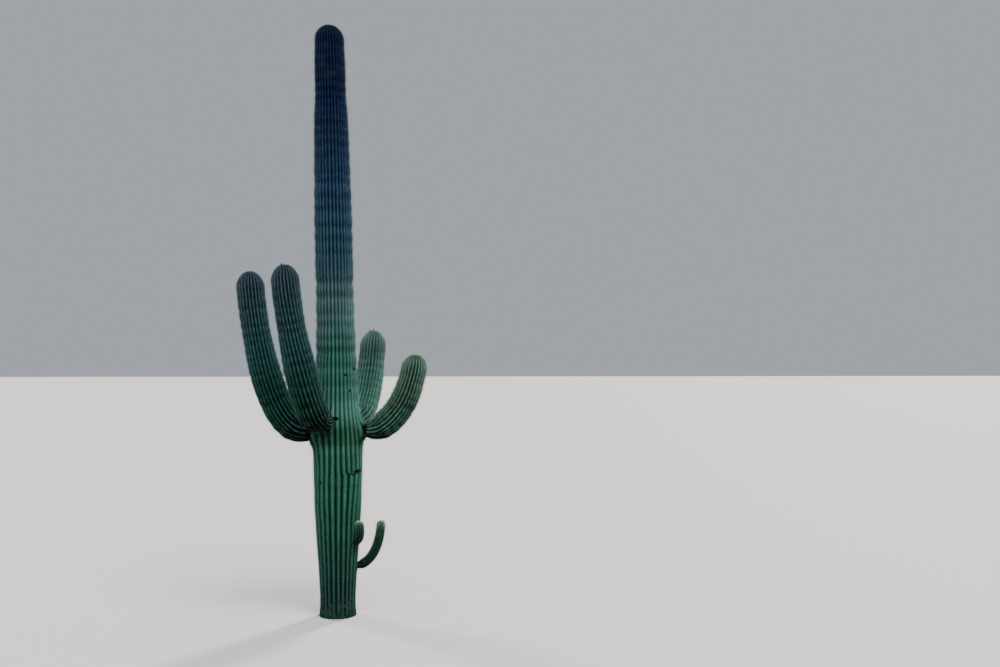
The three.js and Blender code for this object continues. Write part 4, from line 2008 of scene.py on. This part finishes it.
    def spines(
        self, field_of: AreoleField, side: Array, worn: Array, sizes: Array, random: Random
    ) -> tuple[Array, Array]:
        """Makes the spines of some areoles, each a slim three-sided point.

        Args:
            field_of: The areoles.
            side: The direction across each.
            worn: Wear from 0 to 1.
            sizes: Size of each star beside that on the trunk.
            random: Source of the spines' irregularities.

        Returns:
            Points and faces.
        """
        many, each = len(side), self.radials + self.centrals
        spread = 2 * math.pi / self.radials
        turns = np.arange(self.radials) * spread + random.uniform(0, spread, (many, 1))
        turns = turns + random.normal(0, self.turn_wobble, (many, self.radials))
        low_lifts = random.normal(self.radial_lift, self.radial_wobble, (many, self.radials))
        apart = np.arange(self.centrals) * 2 * math.pi / self.centrals
        standing = random.uniform(0, 2 * math.pi, (many, 1)) + apart
        turns = np.concatenate([turns, standing], axis=1)
        high_lifts = random.normal(self.central_lift, self.central_wobble, (many, self.centrals))
        lifts = np.radians(np.concatenate([low_lifts, high_lifts], axis=1))
        lengths = np.concatenate([
            self.radial_length * random.uniform(*self.radial_range, (many, self.radials)),
            self.central_length * random.uniform(*self.central_range, (many, self.centrals)),
        ], axis=1)
        broken = random.random((many, each)) < self.broken_odds * worn[:, None]
        lengths = lengths * np.where(broken, self.broken_length, 1.0)
        lengths = lengths * (1 - self.worn_shorter * worn[:, None]) * sizes[:, None]
        flat = np.cos(turns)[..., None] * side[:, None] + np.sin(turns)[..., None] * field_of.up[:, None]
        aim = np.cos(lifts)[..., None] * flat + np.sin(lifts)[..., None] * field_of.out[:, None]
        base = field_of.place[:, None] + self.foot_rise * field_of.out[:, None] + self.foot_apart * flat
        tip = base + aim * lengths[..., None]
        across = unit(np.cross(aim, field_of.out[:, None] + self.OFF_AXIS * side[:, None]))
        third = np.cross(aim, across)
        in_ring = np.arange(each) < self.radials
        thick = self.thickness * np.where(in_ring, self.radial_share, self.central_share)[None, :, None]
        thick = thick * sizes[:, None, None]
        count = self.SPINE_SIDES
        corners = [
            base + thick * (math.cos(turn) * across + math.sin(turn) * third)
            for turn in (2 * math.pi * corner / count for corner in range(count))
        ]
        points = np.stack([*corners, tip], axis=2).reshape(-1, 3)
        sides_of = np.array([[corner, (corner + 1) % count, count] for corner in range(count)])
        faces = (sides_of[None] + (count + 1) * np.arange(many * each)[:, None, None]).reshape(-1, 3)
        return points, faces


@dataclass(frozen=True)
class Bud:
    """A closed flower bud, with its bearing on the crown, its tilt from the arm's heading and its size."""

    bearing: float
    tilt: float
    length: float
    radius: float


@dataclass(frozen=True)
class BudCluster:
    """The buds that stand out of the crown of an arm, with overlapping scales on each.

    A bud's outline is the arc of a sine from low to high of its half turn, raised to the power fullness.
    """

    buds: tuple[Bud, ...]
    sunk: float = 0.35
    rows: int = 18
    columns: int = 20
    rings: int = 6
    scales: int = 5
    scale_rise: float = 0.16
    low: float = 0.04
    high: float = 0.97
    fullness: float = 0.62

    def shape(self, bud: Bud) -> tuple[Array, Array, Array]:
        """Works out the outline of a bud.

        Args:
            bud: The bud.

        Returns:
            The rise from 0 to 1, the radius, and how near each place is to a scale's point.
        """
        rise = np.linspace(0, 1, self.rows)[:, None]
        turn = (np.arange(self.columns) / self.columns * 2 * math.pi)[None, :]
        ring = rise * self.rings
        lean = np.floor(ring) / 2
        edge = (ring % 1) * np.abs(np.cos((turn * self.scales / 2) + lean * math.pi))
        bulge = np.sin(math.pi * (self.low + (self.high - self.low) * rise)) ** self.fullness
        return rise, bud.radius * bulge * (1 + self.scale_rise * edge), edge

    def build(self, arm: Arm) -> None:
        """Builds the buds as one mesh.

        Args:
            arm: The arm that carries them.
        """
        crown = arm.middle(np.array([arm.length - arm.dome]))[0]
        heading, side, inward = (each[0] for each in arm.directions(np.array([arm.length])))
        turn = (np.arange(self.columns) / self.columns * 2 * math.pi)[None, :]
        number, quads = ring_faces(self.rows, self.columns)
        points, faces, edges = [], [], []
        for index, bud in enumerate(self.buds):
            bearing, tilt = math.radians(bud.bearing), math.radians(bud.tilt)
            out = side * math.cos(bearing) + inward * math.sin(bearing)
            axis = heading * math.cos(tilt) + out * math.sin(tilt)
            first = unit(np.cross(axis, side))
            second = np.cross(axis, first)
            rise, radius, edge = self.shape(bud)
            base = crown + axis * (arm.dome - bud.length * self.sunk)
            across = first * (radius * np.cos(turn))[..., None] + second * (radius * np.sin(turn))[..., None]
            points.append((base + axis * (rise * bud.length)[..., None] + across).reshape(-1, 3))
            faces.append(quads + index * number.size)
            edges.append(edge.ravel())
        title = f"{arm.name}_buds"
        piece = joined_mesh(title, np.concatenate(points), np.concatenate(faces), BUD_FINISH.build())
        layer = piece.data.attributes.new("edge", "FLOAT", "POINT")
        layer.data.foreach_set("value", np.concatenate(edges).astype(np.float32))
        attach(piece, BODY)
        LOG.info("%s: %d buds", piece.name, len(self.buds))


BUDS = {
    "back_arm": BudCluster((
        Bud(100, 6, 0.050, 0.013), Bud(40, 16, 0.046, 0.013), Bud(10, 9, 0.042, 0.012),
    )),
    "front_arm": BudCluster((Bud(270, 11, 0.038, 0.012),)),
}


@dataclass
class Saguaro:
    """The whole plant."""

    seed: int = SEED
    star: SpineStar = SpineStar()

    def build(self) -> None:
        """Builds the trunk, the arms, their spines and their buds."""
        random = np.random.default_rng(self.seed)
        trunk = Trunk(random)
        arms = [self.big_arm(plan, random, trunk) for plan in BIG_ARMS]
        arms += [Arm(plan, YOUNG_FINISH, "young_flesh", [plan.name], random, trunk) for plan in YOUNG_ARMS]
        for limb in [trunk, *arms]:
            limb.build_skin()
        self.arm_trunk(trunk, arms, random)
        for arm in arms:
            self.arm_with_spines(arm, trunk, random)
            if arm.name in BUDS:
                BUDS[arm.name].build(arm)

    def big_arm(self, plan: ArmPlan, random: Random, trunk: Trunk) -> Arm:
        """Sets up one of the big arms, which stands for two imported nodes.

        Args:
            plan: The arm's sizes.
            random: Source of its irregularities.
            trunk: The trunk.

        Returns:
            The arm.
        """
        nodes = [f"{plan.name}_elbow", f"{plan.name}_upright"]
        return Arm(plan, ARM_FINISHES[plan.name], "arm_flesh", nodes, random, trunk)

    def arm_trunk(self, trunk: Trunk, arms: list[Arm], random: Random) -> None:
        """Puts spines on the trunk, but not where an arm or a scar is.

        Args:
            trunk: The trunk.
            arms: The arms.
            random: Source of the spines' irregularities.
        """
        areoles = trunk.areoles()
        z, bearing, radius = round_trunk(areoles.place)
        clear = z > LOWEST_AREOLE
        for arm in arms:
            clear &= ~arm.holds(areoles.place)
        for scar in SCARS:
            clear &= scar.nearness(z, bearing, radius) > SCAR_BARE_REACH
        areoles = areoles.keep(clear)
        worn = smooth((WEAR_HEIGHT - areoles.place[:, 2]) / WEAR_FADE)
        self.star.build(trunk, areoles, worn, random)

    def arm_with_spines(self, arm: Arm, trunk: Trunk, random: Random) -> None:
        """Puts spines on an arm, but not inside the trunk or over the painted shade in the nook at its root.

        Args:
            arm: The arm.
            trunk: The trunk.
            random: Source of the spines' irregularities.
        """
        areoles = arm.areoles()
        z, bearing, radius = round_trunk(areoles.place)
        clear = radius > trunk.crest_radius(z, bearing) + trunk.collar(z, bearing) + SPINE_CLEARANCE
        clear &= areoles.reach * arm.length > arm.plan.nook * arm.plan.size
        areoles = areoles.keep(clear)
        self.star.build(arm, areoles, np.zeros(len(areoles.place)), random)


@dataclass(frozen=True)
class Lamp:
    """A distant lamp, turned about x, y and z from shining straight down, with the angle that it fills."""

    name: str
    turned: tuple[float, float, float]
    strength: float
    softness: float
    colour: tuple[int, int, int]

    def hang(self) -> None:
        """Hangs the lamp in the scene."""
        data = bpy.data.lights.new(self.name, "SUN")
        data.energy = self.strength
        data.angle = math.radians(self.softness)
        data.color = linear(self.colour)[:3]
        lamp = bpy.data.objects.new(self.name, data)
        lamp.rotation_euler = tuple(math.radians(angle) for angle in self.turned)
        bpy.context.scene.collection.objects.link(lamp)


LAMPS = (
    Lamp("overhead", (30, 0, 26), 2.55, 24, (255, 254, 250)),
    Lamp("right_rim", (66, 0, 142), 4.5, 10, (255, 248, 240)),
    Lamp("left_rim", (66, 0, -142), 2.2, 10, (255, 248, 240)),
    Lamp("front", (72, 0, -20), 0.45, 50, (236, 243, 255)),
)


@dataclass(frozen=True)
class Studio:
    """The floor, the soft light and the camera at the photograph's viewing angle."""

    camera_distance: float = 12.698
    camera_height: float = 3.123
    camera_pitch: float = 2.150
    camera_yaw: float = 9.367
    lens: float = 35.0
    sensor: float = 36.0
    sight: float = 1500.0
    floor_size: float = 900.0
    floor_colour: tuple[int, int, int] = (206, 205, 201)
    floor_roughness: float = 0.9
    floor_gloss: float = 0.2
    sky_colour: tuple[int, int, int] = (222, 230, 240)
    sky_strength: float = 0.55

    def build(self) -> None:
        """Sets up the studio."""
        self.place_camera()
        self.lay_floor()
        self.fill_sky()
        for lamp in LAMPS:
            lamp.hang()
        LOG.info("studio ready")

    def place_camera(self) -> None:
        """Puts the camera where the photograph was taken from."""
        data = bpy.data.cameras.new("camera")
        data.lens = self.lens
        data.sensor_width = self.sensor
        data.clip_end = self.sight
        camera = bpy.data.objects.new("camera", data)
        camera.location = (0, -self.camera_distance, self.camera_height)
        camera.rotation_euler = (math.radians(90 + self.camera_pitch), 0, math.radians(-self.camera_yaw))
        bpy.context.scene.collection.objects.link(camera)
        bpy.context.scene.camera = camera

    def lay_floor(self) -> None:
        """Lays a plain pale floor at ground level."""
        half = self.floor_size / 2
        wiring = Wiring("floor_paint", self.floor_roughness, self.floor_gloss)
        wiring.put(linear(self.floor_colour), wiring.surface.inputs["Base Color"])
        corners = np.array([(-half, -half, 0), (half, -half, 0), (half, half, 0), (-half, half, 0)], float)
        joined_mesh("floor", corners, np.array([[0, 1, 2, 3]]), wiring.material)

    def fill_sky(self) -> None:
        """Surrounds the scene with even pale light."""
        world = bpy.data.worlds.new("sky")
        world.use_nodes = True
        background = world.node_tree.nodes["Background"]
        background.inputs["Color"].default_value = linear(self.sky_colour)
        background.inputs["Strength"].default_value = self.sky_strength
        bpy.context.scene.world = world


def main() -> None:
    """Builds the studio and the plant, in that order."""
    logging.basicConfig(level=logging.INFO, format="%(name)s %(message)s")
    Studio().build()
    Saguaro().build()


if __name__ == "__main__":
    main()
